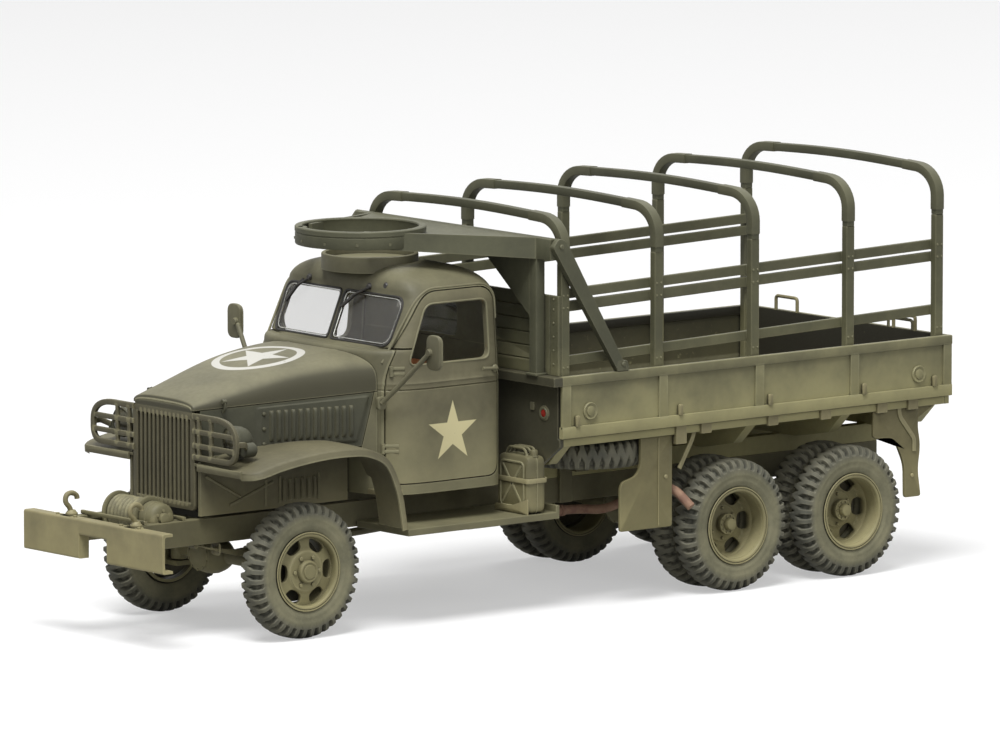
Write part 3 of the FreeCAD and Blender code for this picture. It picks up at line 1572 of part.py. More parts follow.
def spring_strip(x, half, low_mid, low_end, y, thickness):
    """A leaf spring in side view as a curved strip."""
    lower = []
    upper = []
    for step in range(spring_steps + 1):
        place = 2 * step / spring_steps - 1
        z = low_mid + (low_end - low_mid) * place ** 2
        lower.append(Vector(x + half * place, y, z))
        upper.append(Vector(x + half * place, y, z + thickness * (1 - place ** 2 / 2)))
    outline = lower + list(reversed(upper))
    return Part.Face(Part.makePolygon(outline + outline[:1])).extrude(Vector(0, spring_width, 0))


def leaf_springs():
    """Front springs under the rails and rear springs outside them, with their hangers."""
    pieces = []
    inner = rail_outer_y - rail_flange
    middle = (mid_axle_x + rear_axle_x) / 2
    for side in (1, -1):
        low = axle_z + front_axle_tube
        eye = frame_low - spring_thickness / 2
        group = [spring_strip(front_axle_x, front_spring_half, low, eye, inner, spring_thickness)]
        for place in (front_axle_x - front_spring_half, front_axle_x + front_spring_half - rail_web):
            group.append(block(place, place + rail_web, inner, inner + spring_width, eye, frame_low))
        piece = joined(group)
        pieces.append(piece if side > 0 else mirrored(piece))
        low = axle_z + rear_axle_tube
        rear = spring_strip(middle, axle_spread / 2, low + spring_rise, low, rail_outer_y, spring_thickness)
        saddle = block(middle - spring_thickness, middle + spring_thickness, rail_outer_y,
                       rail_outer_y + spring_width, low + spring_rise + spring_thickness / 2, frame_top - rail_web)
        piece = joined([rear, saddle])
        pieces.append(piece if side > 0 else mirrored(piece))
    return apart(pieces)


def drive_shafts():
    """The transfer case on its crossmember with the shafts to the three axles."""
    middle = (cab_rear_x + bed_front_x) / 2 - gearbox_length
    y = -bowl_offset
    high = frame_low + rail_web
    case = block(middle - gearbox_length / 2, middle + gearbox_length / 2, y - gearbox_width / 2,
                 y + gearbox_width / 2, high - gearbox_height, high)
    level = high - gearbox_height / 2
    gap = bowl_radius / math.cos(2 * math.pi / wheel_facets) + seam_gap
    front = rod(Vector(middle, y, level), Vector(front_axle_x - gap, y, axle_z), shaft_radius)
    back = rod(Vector(middle, y, level), Vector(mid_axle_x + gap, y, axle_z), shaft_radius)
    link = rod(Vector(mid_axle_x - gap, y, axle_z), Vector(rear_axle_x + gap, y, axle_z), shaft_radius)
    return apart([joined([case, front, back]), link])


def build():
    """Every sub-part by its name."""
    walls = cab_walls()
    plain_tyre = tyre()
    single = front_wheel()
    twins = twin_wheels()
    middle = (twin_outer_y + twin_inner_y) / 2
    pair = apart([moved(plain_tyre, 0, twin_outer_y - middle, 0),
                  moved(plain_tyre, 0, twin_inner_y - middle, 0)])
    parts = {
        "chassis_frame": chassis_frame(),
        "front_bumper": joined([front_bumper(), tow_hook(hook_y), tow_hook(-hook_y)]),
        "winch": joined([winch_drum(), winch_case()]),
        "radiator_grille": radiator_grille(),
        "radiator_core": radiator_core(),
        "headlamps": apart([headlamp(1), headlamp(-1)]),
        "hood_top": hood_top(),
        "hood_sides": apart([hood_side(1), hood_side(-1)]),
        "fender_left": fender(1),
        "fender_right": fender(-1),
        "cab_shell": cab_shell(walls),
        "cab_floor": cab_floor(),
        "door_left": door(walls, 1),
        "door_right": door(walls, -1),
        "window_glass": window_glass(),
        "wipers": wipers(),
        "mirrors": apart([mirror(1), mirror(-1)]),
        "bench_seat": bench_seat(),
        "steering_wheel": steering_wheel(),
        "running_boards": apart([running_board(1), running_board(-1)]),
        "jerrycan": jerrycan(),
        "ring_mount": gun_ring(),
        "ring_carriage": ring_carriage(),
        "bed_floor": bed_floor(),
        "bed_side_left": bed_side(1),
        "bed_side_right": bed_side(-1),
        "bed_front": bed_front(),
        "front_rack": front_rack(),
        "tailgate": tailgate(),
        "side_rack_left": side_rack(1),
        "side_rack_right": side_rack(-1),
        "bows": bows(),
        "splash_panels": splash_panels(),
        "spare_tyre": spare_tyre(),
        "spare_wheel": spare_wheel(),
        "fuel_tank": fuel_tank(),
        "exhaust": exhaust(),
        "front_axle": front_axle(),
        "rear_axles": rear_axles(),
        "leaf_springs": leaf_springs(),
        "drive_shafts": drive_shafts(),
        "knuckle_left": knuckle(1),
        "knuckle_right": knuckle(-1),
    }
    for side, name in ((1, "left"), (-1, "right")):
        wheel = single if side > 0 else mirrored(single)
        double = twins if side > 0 else mirrored(twins)
        parts["tyre_front_" + name] = moved(plain_tyre, front_axle_x, side * front_tyre_y, axle_z)
        parts["wheel_front_" + name] = moved(wheel, front_axle_x, side * front_tyre_y, axle_z)
        for place, x in (("mid", mid_axle_x), ("rear", rear_axle_x)):
            parts["tyres_" + place + "_" + name] = moved(pair, x, side * middle, axle_z)
            parts["wheels_" + place + "_" + name] = moved(double, x, side * middle, axle_z)
    return parts


os.makedirs("parts", exist_ok=True)
for name, shape in build().items():
    shape.exportStep("parts/" + name + ".step")
    print(name, len(shape.Solids), shape.isValid(), round(shape.Volume, 2))
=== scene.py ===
import math

import bmesh
import bpy
import numpy as np
from mathutils import Matrix, Vector


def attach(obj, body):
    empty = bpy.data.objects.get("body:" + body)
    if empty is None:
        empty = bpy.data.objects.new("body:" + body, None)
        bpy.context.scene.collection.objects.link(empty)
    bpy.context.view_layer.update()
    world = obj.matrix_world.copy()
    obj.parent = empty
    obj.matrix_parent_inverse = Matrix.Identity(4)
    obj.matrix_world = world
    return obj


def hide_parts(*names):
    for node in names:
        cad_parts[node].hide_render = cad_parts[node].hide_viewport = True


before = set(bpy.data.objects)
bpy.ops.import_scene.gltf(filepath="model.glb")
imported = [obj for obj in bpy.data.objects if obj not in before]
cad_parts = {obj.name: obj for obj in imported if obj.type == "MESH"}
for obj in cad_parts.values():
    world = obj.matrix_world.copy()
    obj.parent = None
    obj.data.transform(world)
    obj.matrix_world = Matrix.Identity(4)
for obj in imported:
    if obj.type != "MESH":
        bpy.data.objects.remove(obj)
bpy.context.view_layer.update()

scene = bpy.context.scene
mm = 0.001

# Main places of the truck in millimetres, as the frame has them
front_axle_x, mid_axle_x, rear_axle_x, axle_z = 52.0, -32.6, -57.3, 10.8
tyre_half = 2.4
front_tyre_y, twin_middle_y, twin_half = 17.9, 19.95, 2.95
grille_x, cowl_x = 65.5, 35.4
bed_front_x, bed_rear_x = 5.0, -77.9
pane_foot_x, pane_foot_z, pane_slope = 32.2, 43.9, 0.4217
spare_centre, winch_centre = (-9.7, 13.3, 24.4), (70.9, 1.2, 19.5)
front_spring_y, rear_spring_y, rear_spring_x = 7.35, 9.15, -44.95
louvre_pitch = 1.24
hands = (("left", 1), ("right", -1))


# Camera

def looking_in(azimuth, elevation, distance, target=(0, 0, 0)):
    """A place on a sphere round the target, turned to look at it: the way out is sin az cos el, -cos az cos el and
    sin el along x, y and z."""
    az, el = math.radians(azimuth), math.radians(elevation)
    out = Vector((math.sin(az) * math.cos(el), -math.cos(az) * math.cos(el), math.sin(el)))
    return Matrix.Translation(Vector(target) + out * distance) @ out.to_track_quat("Z", "Y").to_matrix().to_4x4()


def aim_camera(azimuth, elevation, distance, target, lens):
    """The camera, at a distance in millimetres from its target."""
    data = bpy.data.cameras.new("camera")
    data.lens, data.sensor_width = lens, 36
    data.clip_start, data.clip_end = 0.05, 20
    camera = bpy.data.objects.new("camera", data)
    scene.collection.objects.link(camera)
    camera.matrix_world = looking_in(azimuth, elevation, distance * mm, Vector(target) * mm)
    scene.camera = camera


aim_camera(140.82, 7.67, 1766.3, (-3.27, 0, 35.38), 392.9)
scene.view_settings.view_transform = "Standard"


# Finishes

def tint(red, green, blue):
    """A colour as a screen shows it, 0 to 255, turned into the share of light it gives back."""
    shown = np.array([red, green, blue]) / 255
    back = np.where(shown <= 0.04045, shown / 12.92, ((shown + 0.055) / 1.055) ** 2.4)
    return tuple(float(part) for part in back) + (1.0,)


class Wire:
    """A number or colour on its way through a finish; arithmetic on it adds the Math node that works it out."""

    def __init__(self, finish, socket):
        self.finish, self.socket = finish, socket

    def __add__(self, other):
        return self.finish.maths("ADD", self, other)

    def __sub__(self, other):
        return self.finish.maths("SUBTRACT", self, other)

    def __rsub__(self, other):
        return self.finish.maths("SUBTRACT", other, self)

    def __mul__(self, other):
        return self.finish.maths("MULTIPLY", self, other)

    def __truediv__(self, other):
        return self.finish.maths("DIVIDE", self, other)

    def __rtruediv__(self, other):
        return self.finish.maths("DIVIDE", other, self)

    def __pow__(self, other):
        return self.finish.maths("POWER", self, other)

    def __rpow__(self, other):
        return self.finish.maths("POWER", other, self)

    __radd__ = __add__
    __rmul__ = __mul__


class Finish:
    """One finish: a material whose nodes are made one by one and end in its shader."""

    def __init__(self, name):
        self.material = bpy.data.materials.new(name)
        self.material.use_nodes = True
        self.tree = self.material.node_tree
        self.tree.nodes.clear()

    def node(self, kind, settings=None, sockets=None, out=0):
        """A node of a type: its settings are set first, then the values or wires of its sockets."""
        made = self.tree.nodes.new(kind)
        for key, value in (settings or {}).items():
            setattr(made, key, value)
        for key, value in (sockets or {}).items():
            if isinstance(value, Wire):
                self.tree.links.new(value.socket, made.inputs[key])
            else:
                made.inputs[key].default_value = value
        return Wire(self, made.outputs[out])

    def maths(self, kind, *parts):
        """A Math node of a kind, with its parts in order."""
        return self.node("ShaderNodeMath", {"operation": kind}, dict(enumerate(parts)))

    def place(self):
        """The place on the piece in metres."""
        return self.node("ShaderNodeTexCoord", out="Object")

    def axes(self, vector):
        """The three parts of a place or direction."""
        split = self.node("ShaderNodeSeparateXYZ", {}, {0: vector})
        parts = split.socket.node.outputs
        return Wire(self, parts[0]), Wire(self, parts[1]), Wire(self, parts[2])

    def noise(self, size, detail=3.0, rough=0.5, vector=None):
        """Cloudy noise from 0 to 1 whose blots are about the given size in millimetres."""
        return self.node("ShaderNodeTexNoise", {}, {"Vector": vector or self.place(), "Scale": 1 / (size * mm),
                                                    "Detail": detail, "Roughness": rough})

    def step(self, value, low, high):
        """0 below low, 1 above high, and a smooth climb between."""
        return self.node("ShaderNodeMapRange", {"interpolation_type": "SMOOTHSTEP"},
                         {"Value": value, "From Min": low, "From Max": high})

    def mix(self, share, first, second):
        """The first colour changing to the second as share goes from 0 to 1."""
        return self.node("ShaderNodeMix", {"data_type": "RGBA"}, {0: share, 6: first, 7: second}, out=2)

    def closeness(self, reach, inside=False, samples=6):
        """How much a surface is closed in within a reach: in grooves, or on outward edges when seen from inside."""
        seen = self.node("ShaderNodeAmbientOcclusion", {"samples": samples, "inside": inside, "only_local": inside},
                         {"Distance": reach * mm}, out="AO")
        return 1 - seen

    def shade(self, **sockets):
        """The shader itself, with underscores in a socket's name for its spaces."""
        named = {key.replace("_", " "): value for key, value in sockets.items()}
        return self.node("ShaderNodeBsdfPrincipled", {}, named)

    def end(self, shader):
        """The finished material, with this shader as its surface."""
        out = self.tree.nodes.new("ShaderNodeOutputMaterial")
        self.tree.links.new(shader.socket, out.inputs["Surface"])
        return self.material


def star_share(finish, along, across, size, soft=0.06):
    """1 inside a five-point star with a tip along the first axis: each point is turned into one tenth of the star,
    and its distance past the straight edge from tip to notch decides."""
    reach = (along ** 2 + across ** 2) ** 0.5
    turn = finish.maths("PINGPONG", finish.maths("ARCTAN2", across, along), math.pi / 5)
    u = finish.maths("COSINE", turn) * reach
    v = finish.maths("SINE", turn) * reach
    notch = 0.382 * size
    nx, ny = notch * math.sin(math.pi / 5), size - notch * math.cos(math.pi / 5)
    length = math.hypot(nx, ny)
    beyond = (u - size) * (nx / length) + v * (ny / length)
    return 1 - finish.step(beyond, -soft, soft)


def painted(name, clean, dusty, level, spread, mark=None, edge=(158, 154, 122), edge_share=0.5, top_dust=0.25,
            flank_shade=None, deep=0.0):
    """Matt paint under a coat of dust that thickens downwards from a level over a spread. The dust's share is a smooth
    step of height broken by noise, and some lies on what faces up; upright faces may take a darker colour as painted
    shade; a mark is laid over the paint; dark panel lines and painted shade lie where surfaces close in, more painted
    shade in deep bowls; and outward edges are paler."""
    f = Finish(name)
    place = f.place()
    x, y, z = f.axes(place)
    cloud = f.noise(9, 4, 0.6, place)
    grain = f.noise(0.8, 3, 0.6, place)
    normal = f.node("ShaderNodeNewGeometry", out="Normal")
    up = f.step(f.axes(normal)[2], 0.35, 0.95)
    dust = f.step((level * mm - z) / (spread * mm) + (cloud - 0.5) * 0.7 + (grain - 0.5) * 0.25, 0.0, 1.0)
    dust = f.maths("MAXIMUM", dust, up * (cloud * top_dust))
    shades = [tint(*[part * share for part in clean]) for share in (0.72, 0.9, 1.08)]
    colour = f.mix(f.step(cloud, 0.3, 0.75), shades[1], shades[2])
    # painted shade: upright faces turn towards a darker colour, for the light from above that misses them
    if flank_shade:
        colour = f.mix((1 - up) * 0.9, colour, tint(*flank_shade))
    colour = f.mix(dust, colour, tint(*dusty))
    colour = f.mix((grain - 0.4) * 0.35, colour, shades[0])
    if mark:
        share, shade = mark(f, x, y, z)
        share = share * f.step(grain + cloud * 0.4, 0.38, 0.56)
        colour = f.mix(share, colour, tint(*shade))
    rim = f.step(f.closeness(0.34, True), 0.15, 0.5) * (cloud * 0.5 + grain * 0.6)
    colour = f.mix(rim * edge_share, colour, tint(*edge))
    # dark panel lines and painted shade: darker where surfaces close in within 1.1 mm
    shut = f.step(f.closeness(1.1), 0.3, 0.85)
    colour = f.mix(shut * 0.9, colour, tint(34, 33, 26))
    # painted shade: deep bowls darker still
    if deep:
        bowl_shade = f.step(f.closeness(deep), 0.3, 0.8)
        colour = f.mix(bowl_shade * 0.75, colour, tint(58, 55, 41))
    bump = f.node("ShaderNodeBump", {}, {"Strength": 0.35, "Distance": 0.00004, "Height": grain})
    gloss = (grain - 0.5) * 0.2 + 0.6
    return f.end(f.shade(Base_Color=colour, Roughness=gloss, Normal=bump, Specular_IOR_Level=0.35))


def hood_star(f, x, y, z):
    """A star in a ring on the hood, its tip to the windshield."""
    along, across = 46.3 * mm - x, y
    reach = (along ** 2 + across ** 2) ** 0.5
    ring = f.step(reach, 6.1 * mm, 6.22 * mm) * (1 - f.step(reach, 7.4 * mm, 7.52 * mm))
    top = f.step(z, 40.6 * mm, 40.8 * mm)
    star = star_share(f, along, across, 5.9 * mm, 0.05 * mm)
    return f.maths("MAXIMUM", ring, star) * top, (192, 190, 182)


def door_star(f, x, y, z):
    """A star in the middle of each door, its tip upwards."""
    along, across = z - 30.2 * mm, x - 21.4 * mm
    return star_share(f, along, across, 5.1 * mm, 0.05 * mm), (206, 197, 153)


def bed_inside_shade(f, x, y, z):
    """The inside of the bed's walls, darkened as painted shade where the walls keep out the light."""
    share = 1 - f.step(f.maths("ABSOLUTE", y), 25.0 * mm, 25.3 * mm)
    share = share * f.step(x, -77.4 * mm, -77.0 * mm) * (1 - f.step(x, 4.2 * mm, 4.5 * mm))
    return share * f.step(z, 28.0 * mm, 28.3 * mm) * 1.4, (46, 44, 34)


def rubber(name):
    """Tyre rubber: dusty olive walls and a darker grey tread, with painted shade between its lugs."""
    f = Finish(name)
    place = f.place()
    cloud = f.noise(5, 4, 0.6, place)
    grain = f.noise(0.5, 3, 0.6, place)
    colour = f.mix(f.step(cloud, 0.3, 0.7), tint(98, 97, 79), tint(127, 124, 100))
    colour = f.mix(grain * 0.3, colour, tint(160, 155, 124))
    tread = f.node("ShaderNodeAttribute", {"attribute_name": "tread"}, out="Fac")
    worn = f.mix(f.step(cloud, 0.3, 0.7), tint(84, 84, 75), tint(112, 110, 95))
    colour = f.mix(tread, colour, worn)
    rim = f.step(f.closeness(0.4, True), 0.15, 0.5) * (cloud * 0.6 + 0.4) * tread
    colour = f.mix(rim * 0.6, colour, tint(150, 146, 120))
    # painted shade: darker where surfaces close in, between the lugs
    shut = f.step(f.closeness(1.3, samples=8), 0.28, 0.75)
    colour = f.mix(shut * 0.9, colour, tint(38, 39, 34))
    bump = f.node("ShaderNodeBump", {}, {"Strength": 0.4, "Distance": 0.00005, "Height": grain})
    return f.end(f.shade(Base_Color=colour, Roughness=(grain - 0.5) * 0.15 + 0.78, Normal=bump,
                         Specular_IOR_Level=0.3))


def plain(name, first, second, size, rough, metal=0.0, corner_shade=0.7):
    """A finish of two tones in blots of a size, with painted shade where surfaces close in."""
    f = Finish(name)
    place = f.place()
    cloud = f.noise(size, 4, 0.6, place)
    grain = f.noise(size / 8, 3, 0.6, place)
    colour = f.mix(f.step(cloud, 0.35, 0.65), tint(*first), tint(*second))
    # painted shade where surfaces close in
    colour = f.mix(f.step(f.closeness(0.9), 0.3, 0.9) * corner_shade, colour, tint(30, 29, 24))
    bump = f.node("ShaderNodeBump", {}, {"Strength": 0.3, "Distance": 0.00004, "Height": grain})
    return f.end(f.shade(Base_Color=colour, Roughness=(grain - 0.5) * 0.2 + rough, Metallic=metal, Normal=bump))


def clear_pane(name):
    """A clear pane, frosted with dust outside the arcs that the wipers clean."""
    f = Finish(name)
    place = f.place()
    _, y, z = f.axes(place)
    cloud = f.noise(1.6, 5, 0.7, place)
    swept = None
    for side in (1, -1):
        dy, dz = y - side * 7.0 * mm, z - 52.2 * mm
        reach = (dy ** 2 + dz ** 2) ** 0.5
        arc = 1 - f.step(reach, 6.3 * mm, 6.6 * mm)
        swept = arc if swept is None else swept + arc
    frost = (1 - f.step(swept, 0.0, 1.0)) * f.step(cloud, 0.35, 0.8) * f.step(z, 50.0 * mm, 51.6 * mm) * 0.5 + 0.03
    clear = f.shade(Base_Color=(1, 1, 1, 1), Roughness=0.03, Transmission_Weight=1.0, IOR=1.2)
    hazy = f.shade(Base_Color=tint(206, 204, 196), Roughness=0.6)
    return f.end(f.node("ShaderNodeMixShader", {}, {0: frost, 1: clear, 2: hazy}))


upper_olive = painted("olive_upper", (88, 85, 65), (118, 114, 86), 34, 30)
cab_olive = painted("olive_cab", (98, 95, 74), (128, 124, 94), 38, 30, top_dust=0.3)
# painted shade: the hood's upright faces are darker
hood_olive = painted("olive_hood", (108, 105, 83), (124, 119, 92), 34, 30, hood_star, flank_shade=(60, 58, 43))
# painted shade: a darker olive for the panels beside the engine and the headlamp bodies, in the shade of fenders and
# guards
shaded_side_olive = painted("olive_side_shaded", (68, 68, 54), (92, 89, 66), 30, 20, edge=(112, 108, 84))
front_olive = painted("olive_front", (84, 80, 61), (112, 107, 80), 28, 18, edge=(158, 152, 118), edge_share=0.7)
fender_olive = painted("olive_fender", (92, 88, 67), (128, 122, 92), 27, 10)
door_olive = painted("olive_door", (102, 98, 76), (138, 133, 101), 38, 22, door_star)
ring_olive = painted("olive_ring", (80, 80, 62), (108, 105, 80), 30, 30, edge_share=0.2)
bed_olive = painted("olive_bed", (112, 109, 82), (156, 150, 108), 39, 15, bed_inside_shade)
rack_olive = painted("olive_rack", (84, 83, 62), (122, 119, 88), 45, 12, top_dust=0.15)
low_olive = painted("olive_low", (128, 121, 90), (170, 160, 116), 22, 14, edge=(176, 170, 132))
frame_olive = painted("olive_frame", (96, 92, 68), (146, 140, 103), 15, 9, edge=(162, 155, 120))
bow_olive = painted("olive_bows", (74, 74, 56), (99, 97, 72), 30, 30, edge_share=0.15)
can_olive = painted("olive_can", (92, 88, 64), (134, 128, 94), 24, 8, edge_share=0.6)
winch_olive = painted("olive_winch", (104, 100, 74), (140, 134, 98), 22, 8, edge=(168, 160, 124), edge_share=0.6)
# painted shade: the wheels' deep bowls are darker
wheel_olive = painted("wheel_dusty", (134, 128, 93), (152, 145, 106), 14, 16, edge=(178, 170, 132), edge_share=0.4,
                      deep=4.5)
flap_olive = painted("olive_flap", (108, 102, 72), (136, 129, 92), 22, 10, edge=(150, 143, 108))
# painted shade: a darker olive for the bed's front panel and the reflector rims on it, in the cab's shadow
front_panel_shaded_olive = painted("olive_bed_front_shaded", (66, 64, 49), (104, 99, 73), 27, 6, bed_inside_shade)
tyre_rubber = rubber("tyre_dusty")
glass_clear = clear_pane("pane_dusty")
seat_brown = plain("seat_brown", (158, 98, 58), (186, 118, 70), 3, 0.7)
rust_brown = plain("pipe_rust", (122, 92, 76), (150, 120, 98), 2, 0.8)
# painted shade: the drums behind the wheels' openings are dark for the shade inside the wheels
drum_shade = plain("drum_shade", (52, 50, 38), (74, 70, 52), 2, 0.8)
core_dark = plain("core_dark", (34, 33, 28), (48, 47, 39), 2, 0.8)
seal_dark = plain("seal_dark", (32, 31, 27), (44, 42, 37), 1, 0.6)
reflector_red = plain("reflector_red", (120, 34, 28), (150, 46, 36), 1, 0.25, 0.0, 0.3)
lamp_silver = plain("lamp_silver", (168, 168, 160), (196, 196, 190), 2, 0.25, 0.6, 0.3)
lens_dark = plain("lens_dark", (66, 64, 50), (88, 85, 66), 1, 0.25, 0.2, 0.4)
wiper_dark = plain("wiper_dark", (34, 32, 29), (48, 45, 40), 1, 0.5)
cable_grey = plain("winch_cable", (112, 108, 84), (136, 131, 100), 1, 0.7)


# Surfaces

def cells(rows, columns, wrap_rows, wrap_columns):
    """Four corner numbers for each cell of a grid of points; a wrapped side joins its last line to its first."""
    r = np.arange(rows if wrap_rows else rows - 1)[:, None]
    c = np.arange(columns if wrap_columns else columns - 1)[None, :]
    below, beside = (r + 1) % rows, (c + 1) % columns
    corners = [r * columns + c, r * columns + beside, below * columns + beside, below * columns + c]
    return np.stack(corners, -1).reshape(-1, 4)


def smooth(value, low, high):
    """0 below low, 1 above high, 3t²-2t³ between."""
    t = np.clip((np.asarray(value, float) - low) / (high - low), 0, 1)
    return t * t * (3 - 2 * t)


def across_axis(axis, along, first, second):
    """Points from their place along an axis and their two places across it, in the order of x, y and z."""
    parts = {"x": (along, first, second), "y": (first, along, second), "z": (first, second, along)}[axis]
    return np.stack(np.broadcast_arrays(*parts), -1)


def flat_line(line, axis, place):
    """A flat line set across an axis at a place."""
    line = np.asarray(line, float)
    return across_axis(axis, place, line[:, 0], line[:, 1])


class Form:
    """Grids of points in millimetres, gathered into one piece."""

    def __init__(self):
        self.points, self.faces, self.count = [], [], 0

    def patch(self, grid, wrap_rows=False, wrap_columns=False):
        """A surface given as a grid of points, rows by columns."""
        grid = np.asarray(grid, float)
        rows, columns = grid.shape[:2]
        self.points.append(grid.reshape(-1, 3))
        self.faces.append(cells(rows, columns, wrap_rows, wrap_columns) + self.count)
        self.count += rows * columns
        return self

    def shell(self, outer, inner, wrap_rows=False):
        """A wall between two grids: each row runs out along the first and back along the second, and the ends shut."""
        outer, inner = np.asarray(outer, float), np.asarray(inner, float)
        self.patch(np.concatenate([outer, inner[:, ::-1]], 1), wrap_rows, True)
        if not wrap_rows:
            for end in (0, -1):
                self.patch(np.stack([outer[end], inner[end]]))

    def tube(self, path, profile, upward=(0, 0, 1), closed=False):
        """A profile carried along a path: point = path + side × first + top × second, where side is the path's
        direction crossed with upward, and top is side crossed with the direction; open ends shut to their middle."""
        path = np.asarray(path, float)
        profile = np.asarray(profile, float)
        ahead = np.roll(path, -1, 0) - np.roll(path, 1, 0)
        if not closed:
            ahead[0], ahead[-1] = path[1] - path[0], path[-1] - path[-2]
        ahead /= np.linalg.norm(ahead, axis=1)[:, None]
        side = np.cross(ahead, np.asarray(upward, float))
        side /= np.linalg.norm(side, axis=1)[:, None]
        top = np.cross(side, ahead)
        grid = path[:, None] + side[:, None] * profile[None, :, :1] + top[:, None] * profile[None, :, 1:2]
        self.patch(grid, closed, True)
        if not closed:
            for end in (0, -1):
                self.patch(np.stack([grid[end], np.broadcast_to(grid[end].mean(0), grid[end].shape)]), False, True)

    def spun(self, profile, centre, steps=48, axis="y", wrap=False):
        """A profile of (along, radius) turned about an axis: point = centre + along on the axis, and radius times sine
        and cosine of the turn across it."""
        profile = np.asarray(profile, float)
        turn = np.linspace(0, 2 * math.pi, steps, endpoint=False)
        along = np.broadcast_to(profile[:, 0], (steps, len(profile)))
        first, second = np.sin(turn)[:, None] * profile[:, 1], np.cos(turn)[:, None] * profile[:, 1]
        self.patch(across_axis(axis, along, first, second) + np.asarray(centre, float), True, wrap)

    def mesh(self, name, mirrored=False):
        """One mesh of all the patches: doubles merged and faces turned outwards."""
        points = np.concatenate(self.points)
        faces = np.concatenate(self.faces)
        if mirrored:
            points = np.concatenate([points, points * (1, -1, 1)])
            faces = np.concatenate([faces, faces[:, ::-1] + self.count])
        mesh = bpy.data.meshes.new(name)
        mesh.from_pydata((points * mm).tolist(), [], faces.tolist())
        tidy = bmesh.new()
        tidy.from_mesh(mesh)
        bmesh.ops.remove_doubles(tidy, verts=tidy.verts, dist=2e-6)
        bmesh.ops.dissolve_degenerate(tidy, dist=1e-7, edges=tidy.edges)
        bmesh.ops.recalc_face_normals(tidy, faces=tidy.faces)
        tidy.to_mesh(mesh)
        tidy.free()
        return mesh

    def made(self, name, finish, body, slot, *nodes, angle=38, mirrored=False):
        """The finished piece, riding on its body in place of its nodes."""
        return piece_of(self.mesh(name, mirrored), name, finish, body, nodes, angle)


def piece_of(mesh, name, finish, body, nodes, angle=38, bevel=0.0):
    """An object for a mesh that already holds its place."""
    mesh.shade_smooth()
    mesh.set_sharp_from_angle(angle=math.radians(angle))
    mesh.materials.clear()
    mesh.materials.append(finish)
    piece = bpy.data.objects.new(name, mesh)
    scene.collection.objects.link(piece)
    if bevel:
        edge = piece.modifiers.new("edges", "BEVEL")
        edge.width, edge.segments, edge.limit_method, edge.angle_limit = bevel * mm, 2, "ANGLE", math.radians(35)
    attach(piece, body)
    if nodes:
        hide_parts(*nodes)
    return piece


def rounded(corners, reach, steps=6, closed=False):
    """A line through corners, each turned by a parabola (1-t)²A + 2t(1-t)C + t²B between points a reach away."""
    corners = np.asarray(corners, float)
    turned = corners if closed else corners[1:-1]
    before = np.roll(corners, 1, 0) if closed else corners[:-2]
    after = np.roll(corners, -1, 0) if closed else corners[2:]
    reach = np.broadcast_to(np.asarray(reach, float), len(turned))[:, None]
    back, ahead = before - turned, after - turned
    back_length = np.linalg.norm(back, axis=1)[:, None]
    ahead_length = np.linalg.norm(ahead, axis=1)[:, None]
    start = turned + back / back_length * np.minimum(reach, back_length * 0.499)
    end = turned + ahead / ahead_length * np.minimum(reach, ahead_length * 0.499)
    t = np.linspace(0, 1, steps)[None, :, None]
    line = (1 - t) ** 2 * start[:, None] + 2 * t * (1 - t) * turned[:, None] + t ** 2 * end[:, None]
    line = line.reshape(-1, corners.shape[1])
    return line if closed else np.concatenate([corners[:1], line, corners[-1:]])


def ring_line(radius, sides=10):
    """A round profile."""
    turn = np.linspace(0, 2 * math.pi, sides, endpoint=False)
    return np.stack([radius * np.cos(turn), radius * np.sin(turn)], -1)


def plate_line(corner, opposite, radius, steps):
    """A rectangle's outline between two opposite corners, each corner rounded."""
    (left, low), (right, high) = corner, opposite
    return rounded([(left, low), (right, low), (right, high), (left, high)], radius, steps, True)


def bar_line(width, height, radius=0.12, steps=3):
    """A rectangular profile with rounded corners."""
    w, h = width / 2, height / 2
    return plate_line((-w, -h), (w, h), radius, steps)


def pillow(form, outline, axis, place, thick, soft=0.14):
    """A flat piece with rounded edges: its outline is drawn in near both faces and shut to its middle."""
    flat = np.asarray(outline, float)
    middle = flat.mean(0)
    reach = np.linalg.norm(flat - middle, axis=1).max()
    rows = []
    for share, off in ((None, -0.5), (soft, -0.5), (soft * 0.3, -0.42), (0, -0.25), (0, 0.25), (soft * 0.3, 0.42),
                       (soft, 0.5), (None, 0.5)):
        scale = 0.0 if share is None else 1 - share / reach
        loop = middle + (flat - middle) * scale
        rows.append(flat_line(loop, axis, place + off * thick))
    form.patch(np.stack(rows), False, True)


# Tyres

lug_count = 40


